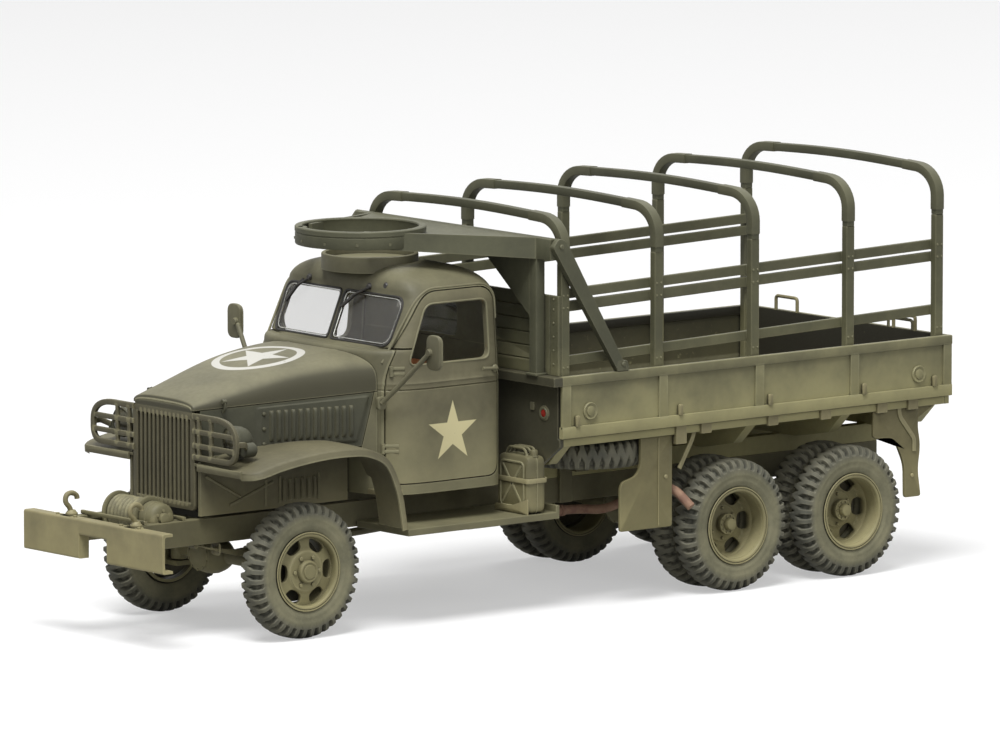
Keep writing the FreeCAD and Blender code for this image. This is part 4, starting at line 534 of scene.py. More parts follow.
def add_tyre(form, centre, axis="y"):
    """A tyre as a ring: its section is a square-shouldered oval, |w/2.4|³·² + |(r-8.4)/2.4|³·² = 1, drawn in to the
    bead; staggered notches run in from both shoulders and end round before the middle band."""
    pitch = 2 * math.pi / lug_count
    share = np.array([0.0, 0.13, 0.19, 0.25, 0.31, 0.37, 0.5, 0.63, 0.69, 0.75, 0.81, 0.87])
    turn = ((np.arange(lug_count)[:, None] + share[None]) * pitch).reshape(-1)
    lean = np.radians(np.concatenate([np.linspace(-90, -38, 7), np.linspace(-32, 32, 15), np.linspace(38, 90, 7)]))
    power = 2 / 3.2
    wide = tyre_half * np.sign(np.sin(lean)) * np.abs(np.sin(lean)) ** power
    tall = 8.4 + 2.4 * np.abs(np.cos(lean)) ** power
    low = np.linspace(8.1, 6.2, 7)
    taper = tyre_half * (1 - 0.24 * ((8.4 - low) / 2.4) ** 2) - 0.16 * np.exp(-((low - 7.7) / 0.12) ** 2)
    wide = np.concatenate([-taper[::-1], wide, taper, [1.7, -1.7]])
    tall = np.concatenate([low[::-1], tall, low, [6.0, 6.0]])
    step = np.stack([np.gradient(wide), np.gradient(tall)], -1)
    step /= np.linalg.norm(step, axis=1)[:, None] + 1e-9
    normal = np.stack([-step[:, 1], step[:, 0]], -1)
    arc = np.abs(wide) + np.maximum(10.6 - tall, 0)
    half = 0.25 * smooth(arc, 0.3, 1.3) * (1 - 0.6 * smooth(arc, 3.4, 3.9))
    depth = 0.72 * smooth(tall, 9.0, 9.5) * (arc > 0.3)
    place = turn[:, None] / pitch + np.where(wide > 0, 0.0, 0.5)[None, :]
    apart = np.abs(place - np.round(place))
    notch = 1 - smooth(apart, half - 0.09, half + 0.05)
    sink = depth * notch * ((arc < 5) & (tall > 6.1))
    across = wide[None] - normal[None, :, 0] * sink
    radius = tall[None] - normal[None, :, 1] * sink
    first, second = radius * np.sin(turn)[:, None], radius * np.cos(turn)[:, None]
    form.patch(across_axis(axis, across, first, second) + np.asarray(centre, float), True, True)


def mark_tread(piece, centre, axis):
    """The share of tread at each point of a tyre: a smooth step of its radius from the axle."""
    points = np.empty(len(piece.data.vertices) * 3)
    piece.data.vertices.foreach_get("co", points)
    off = points.reshape(-1, 3) / mm - centre
    off[:, axis] = 0
    share = piece.data.attributes.new("tread", "FLOAT", "POINT")
    share.data.foreach_set("value", smooth(np.linalg.norm(off, axis=1), 8.7, 9.3).astype(np.float32))


# Wheels

def add_disc(form, place, face, outer, inner, thick, side=1, axis="y"):
    """A wheel disc with rounded openings: each sector is a sheet between an opening's closed curve and the sector's
    own outline, blended in straight lines; its height follows face(radius), and only its inner and outer rims shut."""
    angle = np.linspace(0, 2 * math.pi, 48, endpoint=False)
    across, up = np.cos(angle), np.sin(angle)
    square = np.stack([across, up], -1) / np.maximum(np.abs(across), np.abs(up))[:, None]
    power = 2.2 + 2.6 * smooth(up, -0.3, 0.5)
    reach = ((np.abs(across) / 0.6) ** power + (np.abs(up) / 0.74) ** power) ** (-1 / power)
    hole = np.stack([across, up + 0.13], -1) * reach[:, None]
    blend = np.array([0, 0.06, 0.2, 0.5, 1.0])[:, None, None]
    flat_grid = hole[None] * (1 - blend) + square[None] * blend
    middle, half = (outer + inner) / 2, (outer - inner) / 2
    radius = middle + half * flat_grid[..., 1]
    lip = np.array([0.12, 0.0, 0.0, 0.0, 0.0])[:, None]
    holes = 6
    for index in range(holes):
        turn = (index + 0.5 + flat_grid[..., 0] / 2) * 2 * math.pi / holes
        front = face(radius) - lip
        faces = [wheel_points(place, along * side, radius, turn, axis) for along in (front, front - thick + 2 * lip)]
        form.patch(np.concatenate([faces[0][::-1], faces[1]], 0), False, True)
        for rim_run in (slice(6, 19), slice(30, 43)):
            form.patch(np.stack([faces[0][-1, rim_run], faces[1][-1, rim_run]]))


def wheel_points(place, along, radius, turn, axis="y"):
    """Points round a wheel's axle from their place along it, their radius and their turn."""
    return across_axis(axis, along, radius * np.sin(turn), radius * np.cos(turn)) + np.asarray(place, float)


def add_spun(form, place, profile, side=1, steps=64, axis="y", wrap=False):
    """A turned part of a wheel; profile is (along, radius)."""
    form.spun(np.asarray(profile, float) * (side, 1), place, steps, axis, wrap)


def add_nuts(form, place, count, ring, size, low, high, side=1, axis="y", start=0.5):
    """Six-sided nuts in a ring, each with a small raised end."""
    for index in range(count):
        turn = (index + start) * 2 * math.pi / count
        centre = wheel_points(place, 0.0, ring, turn, axis)
        profile = [(low, 0.0), (low, size), (high - 0.08, size), (high, size * 0.75), (high, 0.0)]
        add_spun(form, centre, profile, side, 6, axis)


def add_rim(form, place, side, depth, axis="y"):
    """The rim of one wheel: flange, lock ring, inner wall down to a depth, and its hidden back."""
    flange = [(1.8, 6.0), (2.0, 6.2), (2.2, 6.34), (2.27, 6.3), (2.27, 6.12), (2.13, 6.06), (2.13, 5.99)]
    lock_ring = [(2.27, 5.94), (2.27, 5.72), (2.2, 5.6), (2.05, 5.52), (1.5, 5.44)]
    add_spun(form, place, flange + lock_ring + [(depth, 5.4), (depth, 5.9), (1.2, 5.95)], side, 72, axis, True)


def add_single_wheel(form, place, side, axis="y"):
    """A single wheel: six openings in a dished disc, a raised middle with six nuts, and a round cap."""
    def face(radius):
        return 1.3 - 0.25 * smooth(radius, 3.4, 5.4) + 0.35 * (1 - smooth(radius, 3.15, 3.55))

    add_rim(form, place, side, -2.2, axis)
    add_disc(form, place, face, 5.46, 3.1, 0.6, side, axis=axis)
    middle = [(0.7, 3.15), (face(3.15), 3.15), (1.66, 2.9), (1.66, 1.86), (1.8, 1.84), (2.3, 1.8), (2.5, 1.66),
              (2.55, 1.5), (2.5, 1.36), (2.44, 1.3), (2.46, 1.16), (2.62, 1.08), (2.65, 0.9), (2.65, 0.0)]
    add_spun(form, place, middle + [(0.7, 0.0)], side, 48, axis)
    add_nuts(form, place, 6, 2.42, 0.36, 1.5, 2.0, side, axis)


def add_twin_wheel(form, place, side):
    """Both rims of a twin wheel with one deep bowl, its hub flange with bolts, and the cap."""
    for offset, turned in ((twin_half, side), (-twin_half, -side)):
        centre = np.asarray(place, float) + (0, side * offset, 0)
        add_rim(form, centre, turned, -1.4)

    def face(radius):
        return 0.75 + 1.5 * smooth(radius, 4.9, 5.46) + 0.25 * (1 - smooth(radius, 2.8, 3.2))

    add_disc(form, place, face, 5.46, 2.9, 0.55, side)
    add_spun(form, place, [(0.7, 5.46), (face(5.46), 5.46), (4.6, 5.42), (4.6, 5.7), (0.7, 5.7)], side, 72, wrap=True)
    middle = [(0.2, 2.95), (1.0, 2.95), (1.05, 2.7), (1.05, 1.9), (1.3, 1.5), (1.9, 1.35), (2.0, 1.5), (2.08, 1.74),
              (2.6, 1.74), (2.72, 1.66), (2.72, 1.02), (3.4, 0.98), (3.62, 0.86), (3.7, 0.66), (3.7, 0.0), (0.2, 0.0)]
    add_spun(form, place, middle, side, 48)
    add_nuts(form, place, 10, 1.38, 0.15, 2.6, 2.92, side)
    add_nuts(form, place, 6, 2.5, 0.26, 0.95, 1.4, side, start=0.0)


wheel_places = {"front": front_axle_x, "mid": mid_axle_x, "rear": rear_axle_x}


def make_wheels():
    """The six wheel places: tyres, wheels and the drums behind their openings, dark as painted shade, all rings or
    profiles turned about the axle: radius times sine and cosine of the turn."""
    for end, x in wheel_places.items():
        for hand, side in hands:
            rubber_form, wheel_form = Form(), Form()
            if end == "front":
                body, nodes = "front_wheel_" + hand, ("tyre_front_" + hand, "wheel_front_" + hand)
                add_tyre(rubber_form, (x, side * front_tyre_y, axle_z))
                add_single_wheel(wheel_form, (x, side * front_tyre_y, axle_z), side)
            else:
                body, nodes = end + "_wheels_" + hand, ("tyres_%s_%s" % (end, hand), "wheels_%s_%s" % (end, hand))
                for offset in (twin_half, -twin_half):
                    add_tyre(rubber_form, (x, side * (twin_middle_y + offset), axle_z))
                add_twin_wheel(wheel_form, (x, side * twin_middle_y, axle_z), side)
            tyre = rubber_form.made(nodes[0] + "_lugs", tyre_rubber, body, "tyre", nodes[0], angle=50)
            mark_tread(tyre, (x, 0, axle_z), 1)
            wheel_form.made(nodes[1] + "_holes", wheel_olive, body, "wheel_paint", nodes[1])
            drum = Form()
            along, middle_y = (-1.1, front_tyre_y) if end == "front" else (-0.5, twin_middle_y)
            bowl = [(along - 0.6, 0), (along - 0.6, 4.9), (along - 0.4, 5.1), (along, 4.9), (along, 0)]
            add_spun(drum, (x, side * middle_y, axle_z), bowl, side, 40)
            drum.made(nodes[1] + "_drum", drum_shade, body, "wheel_paint")


def make_spare_wheel():
    """The spare wheel, made as the front ones and laid flat on its carrier."""
    spare, spare_rim = Form(), Form()
    add_tyre(spare, spare_centre, "z")
    add_single_wheel(spare_rim, spare_centre, -1, "z")
    mark_tread(spare.made("spare_tyre_lugs", tyre_rubber, "truck", "tyre", "spare_tyre", angle=50), spare_centre, 2)
    spare_rim.made("spare_wheel_holes", wheel_olive, "truck", "wheel_paint", "spare_wheel")


# Cab

cab_middle, roof_z = 21.0, 56.3


def cab_rows():
    """Rows up the cab: height, reach ahead and behind of its middle, half width, and the powers of its plan's corners.
    Upright to the cowl's rounded edge, in to the windshield, up its slope, then a dome |t|^2.2 + |w|^4 = 1; a
    ridge and a groove run along the belt."""
    turn = np.radians([22, 45, 68, 90])
    slope = np.linspace(44.2, 52.0, 14)
    dome = roof_z - 4.1 * (1 - np.linspace(0.04, 1, 28)) ** 4
    upright = np.array([20.8, 21.3, 24, 28, 32, 36, 37.2, 37.36, 37.44, 37.52, 37.6, 37.68, 37.84, 38.1, 38.3, 38.5,
                        38.7, 38.9, 39.6, 41, 42.2, 43.0])
    z = np.concatenate([upright, 43.0 + 0.9 * np.sin(turn), [43.9, 43.9], slope, dome])
    ahead = np.concatenate([np.full(len(upright), 35.35), 34.45 + 0.9 * np.cos(turn), [33.6, 32.7],
                            pane_foot_x - pane_slope * (slope - pane_foot_z),
                            21 + 8 * np.maximum(1 - (np.clip(dome - 51.6, 0, 4.7) / 4.7) ** 2.8, 0) ** (1 / 3.6)])
    shut = np.maximum(1 - (np.clip(z - 49.8, 0, 6.5) / 6.5) ** 2.2, 0) ** 0.25
    side = 18.36 - 1.05 * np.clip((z - 37.6) / 12.2, 0, 1)
    side = side + 0.13 * np.exp(-((z - 38.5) / 0.2) ** 2) - 0.2 * np.exp(-((z - 37.52) / 0.09) ** 2)
    behind = 10.95 * np.maximum(1 - (np.clip(z - 50.0, 0, 6.3) / 6.3) ** 2.4, 0) ** (1 / 3.2)
    power = np.where(z < 43.95, 4.3, 3.4 + 3.4 * shut)
    rear_power = 3.4 + 5.2 * shut
    return z, ahead - cab_middle, behind, side * shut, power, rear_power, shut


def cab_grid(inset):
    """The cab's skin, or its inner face drawn in by an inset: each row is |x/a|^n + |y/b|^n = 1 in plan."""
    z, ahead, behind, half, power, rear_power, shut = [row[:, None] for row in cab_rows()]
    z = np.where(z > 49.8, 49.8 + (z - 49.8) * (1 - inset / 6.5), z - inset * smooth(z, 43.0, 43.85) * (z < 44))
    lean = np.arctan(np.linspace(0, 1, 25) ** 0.8)
    quarter = np.concatenate([lean, math.pi / 2 - lean[::-1][1:]])
    turn = np.concatenate([quarter[:-1] + math.pi / 2 * step for step in range(4)])[None]
    c, s = np.cos(turn), np.sin(turn)
    n = np.where(c > 0, power, rear_power)
    reach = (np.abs(c) ** n + np.abs(s) ** n) ** (-1 / n)
    a = np.where(c > 0, ahead, behind) - inset * shut
    x = cab_middle + np.maximum(a, 0) * reach * c
    y = np.maximum(half - inset * shut, 0) * reach * s
    return across_axis("x", x, y, z)


def cab_side(x, z):
    """The left face of the cab at a place in side view: half width times (1 - share^n)^(1/n)."""
    rows = cab_rows()
    ahead, behind, half, power, rear_power = [np.interp(z, rows[0], row) for row in rows[1:6]]
    off = np.asarray(x, float) - cab_middle
    n = np.where(off > 0, power, rear_power)
    share = np.abs(off) / np.where(off > 0, ahead, behind)
    return half * np.maximum(1 - share ** n, 0) ** (1 / n)


def cab_front(y, z):
    """The front face of the cab at a place in front view: reach ahead times (1 - share^n)^(1/n)."""
    rows = cab_rows()
    ahead, _, half, power, _ = [np.interp(z, rows[0], row) for row in rows[1:6]]
    return cab_middle + ahead * np.maximum(1 - (np.abs(y) / half) ** power, 0) ** (1 / power)


def prism(outline, axis, low, high):
    """A closed outline carried straight along an axis between two places."""
    flat = np.asarray(outline, float)
    rows = []
    for place, share in ((low, 0.0), (low, 1.0), (high, 1.0), (high, 0.0)):
        loop = flat.mean(0) + (flat - flat.mean(0)) * share
        rows.append(flat_line(loop, axis, place))
    return Form().patch(np.stack(rows), False, True)


def shaped(form, name, steps):
    """A closed form with others taken away from it, or only the room it shares with them kept."""
    held = []
    for index, (kind, part) in enumerate([("", form)] + steps):
        piece = bpy.data.objects.new(name + "_step_%d" % index, part.mesh(name + "_step_%d" % index))
        scene.collection.objects.link(piece)
        held.append(piece)
        if index:
            change = held[0].modifiers.new("step", "BOOLEAN")
            change.operation, change.solver, change.object = kind, "EXACT", piece
    bpy.context.view_layer.update()
    mesh = bpy.data.meshes.new_from_object(held[0].evaluated_get(bpy.context.evaluated_depsgraph_get()))
    mesh.name = name
    for piece in held:
        old = piece.data
        bpy.data.objects.remove(piece)
        bpy.data.meshes.remove(old)
    return mesh


def door_line(grow=0.0):
    """The outline of a door in side view."""
    corners = [(12.0 - grow, 22.6 - grow), (33.0 + grow, 22.6 - grow), (33.0 + grow, 41.1), (26.0 + grow, 52.7 + grow),
               (12.0 - grow, 52.7 + grow)]
    return rounded(corners, [2.2, 2.2, 4.0, 2.8, 2.8], 9, True)


def side_window_line(grow=0.0):
    """The outline of a door's window in side view."""
    corners = [(13.7 - grow, 41.5 - grow), (29.7 + grow, 41.5 - grow), (25.9 + grow, 50.8 + grow),
               (13.7 - grow, 50.8 + grow)]
    return rounded(corners, 1.5, 7, True)


def pane_line(side, grow=0.0):
    """The outline of one windshield opening in front view."""
    corners = [(0.4 - grow, 44.3 - grow), (14.6 + grow, 44.3 - grow), (15.0 + grow, 51.9 + grow),
               (0.4 - grow, 51.9 + grow)]
    return rounded(corners, [0.7, 1.5, 1.9, 0.9], 7, True) * (side, 1)


def make_cab():
    """The cab's pressed shell, rows of |x/a|^n + |y/b|^n = 1 with straight prisms taken away for its openings, and
    both doors kept from the same skin."""
    rear_pane = plate_line((-6.5, 43.5), (6.5, 49.0), 1.4, 7)
    skin = Form().patch(np.concatenate([cab_grid(0.0)[::-1], cab_grid(0.85)]), False, True)
    steps = [("DIFFERENCE", prism(rear_pane, "x", 8, 13))]
    for side in (1, -1):
        steps.append(("DIFFERENCE", prism(pane_line(side), "x", 26.3, 34.2)))
        steps.append(("DIFFERENCE", prism(door_line(0.2), "y", *sorted((side * 12.4, side * 21)))))
    piece_of(shaped(skin, "cab_dome", steps), "cab_dome", cab_olive, "truck", ("cab_shell",), 40)
    for hand, side in hands:
        low, high = sorted((side * 12.4, side * 21))
        steps = [("INTERSECT", prism(door_line(), "y", low, high)),
                 ("DIFFERENCE", prism(side_window_line(), "y", low, high))]
        name = "door_skin_" + hand
        piece_of(shaped(skin, name, steps), name, door_olive, "truck", ("door_" + hand,), 40)


def make_cab_trim():
    """Gutters and window beads, circles carried along rounded lines that lie on cab_side(x, z), with door handles,
    filler cap and hinges."""
    trim = Form()
    gutter = rounded([(33.3, 41.9), (26.55, 53.2), (11.5, 53.2), (11.45, 47.5)], [3.2, 3.2], 9)
    for line, thick, closed in ((gutter, 0.2, False), (side_window_line(0.12), 0.17, True)):
        trim.tube(flat_line(line, "y", cab_side(*line.T) + 0.02), ring_line(thick, 8), (0, 1, 0), closed)
    handle = [(12.7, 18.2, 39.7), (12.7, 19.0, 39.75), (14.0, 19.05, 39.85), (15.7, 18.95, 39.95)]
    trim.tube(rounded(handle, 0.3), ring_line(0.27, 8), (0, 0, 1))
    trim.spun([(-0.1, 0), (-0.1, 0.55), (0.12, 0.6), (0.3, 0.45), (0.3, 0)], (12.7, 18.25, 39.7), 16)
    for x, z in ((32.35, 40.6), (33.35, 28.2)):
        y = float(cab_side(x, z)) + 0.12
        trim.tube([(x, y, z - 0.8), (x, y, z + 0.8)], ring_line(0.34, 10), (1, 0, 0))
        for lift in (-0.45, 0.45):
            trim.tube([(x - 1.9, float(cab_side(x - 1.9, z)) + 0.03, z + lift), (x, y, z + lift)],
                      bar_line(0.24, 0.55), (0, 0, 1))
    trim.made("cab_trim", cab_olive, "truck", "olive_paint", mirrored=True)


def make_roof_collar():
    """The collar in the cab's roof and its closed lid, profiles turned about an upright axis."""
    collar = Form()
    profile = [(54.9, 7.15), (54.9, 7.8), (57.2, 7.8), (57.4, 7.76), (57.5, 7.6), (57.5, 7.3), (57.4, 7.15)]
    collar.spun(profile, (23.6, 0, 0), 64, "z", True)
    collar.spun([(56.2, 0), (56.2, 7.2), (56.36, 7.2), (56.42, 6.9), (56.42, 0)], (23.6, 0, 0), 64, "z")
    collar.made("roof_collar", cab_olive, "truck", "olive_paint")


def make_windshield():
    """The rubber seals round both panes, and inside them a silver line that is a painted highlight for the glint along
    the panes' edges; circles carried along the outlines that lie on cab_front(y, z)."""
    seal, edge = Form(), Form()
    for side in (1, -1):
        line = pane_line(side, 0.02)
        seal.tube(flat_line(line, "x", cab_front(*line.T) + 0.02), ring_line(0.2, 8), (1, 0, 0.4), True)
        # painted highlight: a silver line standing in for the glint along the pane's edge
        line = pane_line(side, -0.34)
        edge.tube(flat_line(line, "x", cab_front(*line.T) - 0.12), ring_line(0.1, 6), (1, 0, 0.4), True)
    seal.made("windshield_seal", seal_dark, "truck", "dark_core")
    edge.made("windshield_edge_glint", lamp_silver, "truck", "glass")


def on_pane(y, z, out):
    """A place just before the windshield's sloped plane, out in front of it along x."""
    return (pane_foot_x + out - pane_slope * (z - pane_foot_z), y, z)


def make_wipers():
    """Both wipers and the stud beside them: bars carried along straight lines on the windshield's sloped plane,
    and turned pivots."""
    wiper = Form()
    for pivot, tip, middle in (((-8.8, 52.9), (-13.2, 48.9), (-11.6, 51.3)), ((6.6, 52.9), (0.9, 49.3), (3.2, 51.2))):
        wiper.tube([on_pane(*pivot, 0.5), on_pane(*middle, 0.55)], ring_line(0.2, 8), (1, 0, 0))
        start = (middle[0] + (middle[0] - tip[0]) * 0.7, middle[1] + (middle[1] - tip[1]) * 0.5)
        wiper.tube([on_pane(*start, 0.22), on_pane(*middle, 0.34), on_pane(*tip, 0.22)], bar_line(0.5, 0.46, 0.12),
                   (1, 0, 0))
        stub = [(28.0, 0), (28.0, 0.55), (29.0, 0.55), (29.3, 0.35), (29.3, 0)]
        wiper.spun(stub, (0, pivot[0], pivot[1] + 0.1), 12, "x")
    wiper.spun([(27.6, 0), (27.6, 0.6), (28.6, 0.6), (28.85, 0.4), (28.85, 0)], (0, 10.4, 53.4), 12, "x")
    wiper.made("wiper_blades", wiper_dark, "truck", "dark_core", "wipers")


def make_mirrors():
    """Both mirrors: rounded outlines drawn in at both faces, a circle carried round the rim, and the arm and
    bracket."""
    mirror, face = Form(), Form()
    middle = np.array([25.68, 44.4])
    head = plate_line((24.0, 41.6), (27.35, 47.2), 1.3, 8)
    pillow(mirror, head, "x", 31.0, 0.75, 0.3)
    mirror.tube(flat_line((head - middle) * 0.9 + middle, "x", 30.72), ring_line(0.2, 8), (1, 0, 0), True)
    mirror.tube([(34.4, 16.6, 35.7), (33.0, 19.6, 38.9), (31.4, 24.5, 44.0)], ring_line(0.4, 10), (0, 0, 1))
    mirror.spun([(30.2, 0), (30.2, 0.5), (30.5, 0.62), (31.6, 0.62), (31.9, 0.5), (31.9, 0)], (0, 25.0, 44.4), 14, "x")
    pillow(mirror, plate_line((33.4, 34.6), (35.0, 36.7), 0.4, 4), "y", 16.1, 0.7)
    mirror.made("mirror_pair", cab_olive, "truck", "olive_paint", "mirrors", mirrored=True)
    pillow(face, (head - middle) * 0.86 + middle, "x", 30.62, 0.12, 0.1)
    face.made("mirror_faces", lamp_silver, "truck", "olive_paint", mirrored=True)


# Hood

hood_front_x, hood_length = 65.4, 29.9


def hood_half(x):
    """Half the hood's width at a place: it grows in a straight line from the grille to the cowl."""
    return 7.8 + (14.5 - 7.8) * (grille_x - x) / (grille_x - cowl_x)


def hood_seam(x):
    """The height of the seam under the hood's top: it climbs in a straight line to the cowl."""
    return 36.2 + 1.2 * (grille_x - x) / (grille_x - cowl_x)


def hood_points(along, turn, inset):
    """The hood: half·cos^n across and crown·sin^n up, n from 0.68 at the nose to 0.48, where half and crown grow
    towards the cab; its rear edge follows the cowl's curve."""
    share = (hood_front_x - along) / (grille_x - cowl_x)
    squared = 0.68 - 0.2 * smooth(share, 0.05, 0.6)
    across = np.sign(np.cos(turn)) * np.abs(np.cos(turn)) ** squared
    up = np.abs(np.sin(turn)) ** squared
    rear = cab_front(14.7 * across, 40.0) + 0.26
    x = hood_front_x - (hood_front_x - rear) * share * (grille_x - cowl_x) / hood_length
    half = hood_half(x) - inset
    seam = hood_seam(x)
    crown = 37.6 + 5.75 * np.sin(np.clip(share, 0, 1) * math.pi / 2) ** 0.9 - inset
    crease = 0.1 * np.exp(-((np.abs(across) - 0.42 - 0.25 * (1 - share)) / 0.03) ** 2) * smooth(share, 0.86, 0.93)
    return across_axis("x", x, half * across, seam + (crown - seam) * up + crease)


def make_hood():
    """The hood's top, an outer and an inner grid of hood_points, closed under its nose by a small upright lip."""
    share = np.concatenate([[0, 0.0006, 0.002, 0.005], 0.01 + 0.99 * np.linspace(0, 1, 60) ** 1.3])
    inset = np.interp(share, [0, 0.0006, 0.002, 0.005, 0.01, 1], [0.5, 0.32, 0.14, 0.03, 0, 0])
    turn = np.linspace(0, math.pi, 81)
    along = hood_front_x - hood_length * share[:, None]
    outer, inner = hood_points(along, turn[None], inset[:, None]), hood_points(along, turn[None], 0.7)
    hood = Form()
    hood.shell(outer, inner)
    nose = outer[0] * (1, 1, 0) + (-0.12, 0, 35.78)
    nose = np.stack([outer[0], (outer[0] + nose) / 2, nose])
    hood.shell(nose, nose - (0.5, 0, 0))
    hood.made("hood_smooth", hood_olive, "truck", "olive_paint", "hood_top", angle=50)


def side_wall(form, front, rear, raised, low=28.8):
    """An upright panel beside the engine between two slanted ends: y = hood_half(x) + raised(x, z)."""
    z_share = np.linspace(0, 1, 40)[None]
    z = low + (hood_seam(50) - 0.15 - low) * z_share
    x = front(z) + (rear(z) - front(z)) * np.linspace(0, 1, 90)[:, None]
    z = low + (hood_seam(x) - 0.13 - low) * z_share
    y = hood_half(x) + raised(x, z)
    outer = across_axis("x", x, y, z)
    form.shell(outer, outer - (0, 0.7, 0))


def rear_edge(z):
    """The slanted rear end of the panel beside the engine: it runs back as it climbs."""
    return 34.35 + (37.3 - z) * 0.27


def raised_part(x, z):
    """How far the panel stands out: four smooth steps round the louvres."""
    step = smooth(x, rear_edge(z) + 0.9, rear_edge(z) + 1.15) * (1 - smooth(x, 54.2, 54.45))
    return 0.24 * step * smooth(z, 29.5, 29.75) * (1 - smooth(z, hood_seam(x) - 0.75, hood_seam(x) - 0.5))


def add_louvres(form, first_x, middle_z, tall, deep, count, wall, side=1):
    """Pressed louvres in a row: each stands out from wall(x) by deep·(1-u²)^½·(1-w⁸)^½, u across and w up."""
    u = np.sin(np.linspace(-1, 1, 9) * math.pi / 2)[:, None]
    w = np.sin(np.linspace(-1, 1, 15) * math.pi / 2)[None]
    bulge = deep * np.sqrt(np.maximum(1 - u ** 2, 0)) * np.maximum(1 - w ** 8, 0) ** 0.5
    for index in range(count):
        x = first_x + louvre_pitch * index + 0.36 * u
        form.patch(across_axis("y", side * (wall(x) + bulge), x, middle_z + tall * w))


def make_hood_sides():
    """Both panels beside the engine, y = half the hood's width plus smooth steps, with louvres, screws and
    latches, and the cowl behind them."""
    hood_wall = Form()
    side_wall(hood_wall, lambda z: 64.2 + 0 * z, rear_edge, raised_part)
    add_louvres(hood_wall, 38.6, 33.0, 2.5, 0.5, 12, lambda x: hood_half(x) + 0.18)
    for z in (35.0, 32.6, 30.2):
        hood_wall.spun([(0, 0.36), (0.16, 0.34), (0.28, 0.18), (0.3, 0)], (53.5, hood_half(53.5) + 0.2, z), 12)
    latch = [(60.6, 9.1, 37.7), (60.6, 9.75, 37.3), (60.6, 9.75, 36.3), (60.6, 9.3, 35.7)]
    hood_wall.tube(rounded(latch, 0.3), bar_line(0.5, 0.3), (1, 0, 0))
    hood_wall.spun([(60.2, 0), (60.2, 0.34), (61.0, 0.34), (61.0, 0)], (0, 9.6, 37.45), 10, "x")
    hood_wall.made("hood_louvres", shaded_side_olive, "truck", "olive_paint", "hood_sides", mirrored=True)
    cowl = Form()
    side_wall(cowl, lambda z: rear_edge(z) - 0.14, lambda z: 33.9 + 0 * z, lambda x, z: 0 * x, 27.0)
    cowl.made("cowl_sides", cab_olive, "truck", "olive_paint", mirrored=True)


# Grille, guards and lamps

def make_grille():
    """Twelve bars in a border between two lamp guards: rounded bars carried along straight lines and parabola
    corners."""
    grille = Form()
    for index in range(12):
        y = -7.0 + 14.0 * (index + 1) / 13
        grille.tube([(64.85, y, 20.9), (64.85, y, 35.3)], bar_line(0.56, 1.0, 0.26, 5), (1, 0, 0))
    border = plate_line((-7.4, 20.9), (7.4, 35.3), 0.35, 4)
    grille.tube(flat_line(border, "x", 64.9), bar_line(1.2, 0.8, 0.2), (1, 0, 0), True)
    for side in (1, -1):
        rim = rounded([(7.6, 28.9), (18.5, 28.9), (18.5, 35.4), (7.6, 35.4)], [2.3, 6.2], 12)
        grille.tube(flat_line(rim * (side, 1), "x", 65.15), bar_line(0.95, 0.7, 0.2), (1, 0, 0))
        for y, low, high in ((9.05, 28.9, 35.4), (12.15, 28.9, 35.35)):
            grille.tube([(65.15, side * y, low), (65.15, side * y, high)], bar_line(0.7, 0.55, 0.16), (1, 0, 0))
        for z, end in ((30.75, 18.45), (33.0, 18.0)):
            grille.tube([(65.18, side * 7.6, z), (65.18, side * end, z)], bar_line(0.84, 0.55, 0.18), (1, 0, 0))
        grille.tube(rounded([(65.0, side * 18.4, 31.9), (63.6, side * 18.7, 31.9), (62.4, side * 17.6, 31.2)], 0.6),
                    bar_line(0.5, 0.9, 0.14), (0, 0, 1))
    grille.made("grille_bars", front_olive, "truck", "olive_paint", "radiator_grille")


def make_lamps():
    """Headlamps, lenses and marker lamps, profiles turned about lines along x, on round posts."""
    lamp, lens = Form(), Form()
    for side in (1, -1):
        lamp.spun([(60.5, 0), (60.5, 0.6), (60.8, 1.3), (61.4, 1.85), (62.2, 2.2), (63.2, 2.36), (63.6, 2.36),
                   (63.75, 2.44), (64.15, 2.44), (64.3, 2.3), (64.2, 2.1), (63.9, 2.05), (63.2, 1.4), (63.0, 0)],
                  (-1.3, side * 14.2, 31.9), 40, "x")
        lamp.tube([(61.0, side * 14.2, 28.4), (61.0, side * 14.2, 30.2)], ring_line(0.6, 12), (1, 0, 0))
        lamp.spun([(-1.2, 0), (-1.2, 0.9), (-0.9, 1.15), (0.7, 1.15), (0.95, 1.0), (0.95, 0)],
                  (61.6, side * 17.0, 30.7), 24, "x")
        lens.spun([(63.95, 0), (63.95, 2.12), (64.2, 2.05), (64.42, 1.5), (64.55, 0.8), (64.6, 0)],
                  (-1.3, side * 14.2, 31.9), 40, "x")
    lamp.made("lamp_bodies", shaded_side_olive, "truck", "lamp", "headlamps")
    lens.made("lamp_lenses", lens_dark, "truck", "lamp")


# Fenders

def through(points, steps):
    """A smooth line through points, cubic between them with slopes from their neighbours."""
    p = np.asarray(points, float)
    p = np.concatenate([[2 * p[0] - p[1]], p, [2 * p[-1] - p[-2]]])
    t = np.linspace(0, 1, steps, endpoint=False)[None, :, None]
    a, b, c, d = [p[k:len(p) - 3 + k, None] for k in range(4)]
    line = 0.5 * (2 * b + (c - a) * t + (2 * a - 5 * b + 4 * c - d) * t ** 2 + (3 * b - a - 3 * c + d) * t ** 3)
    return np.concatenate([line.reshape(-1, 2), p[-2:-1]])


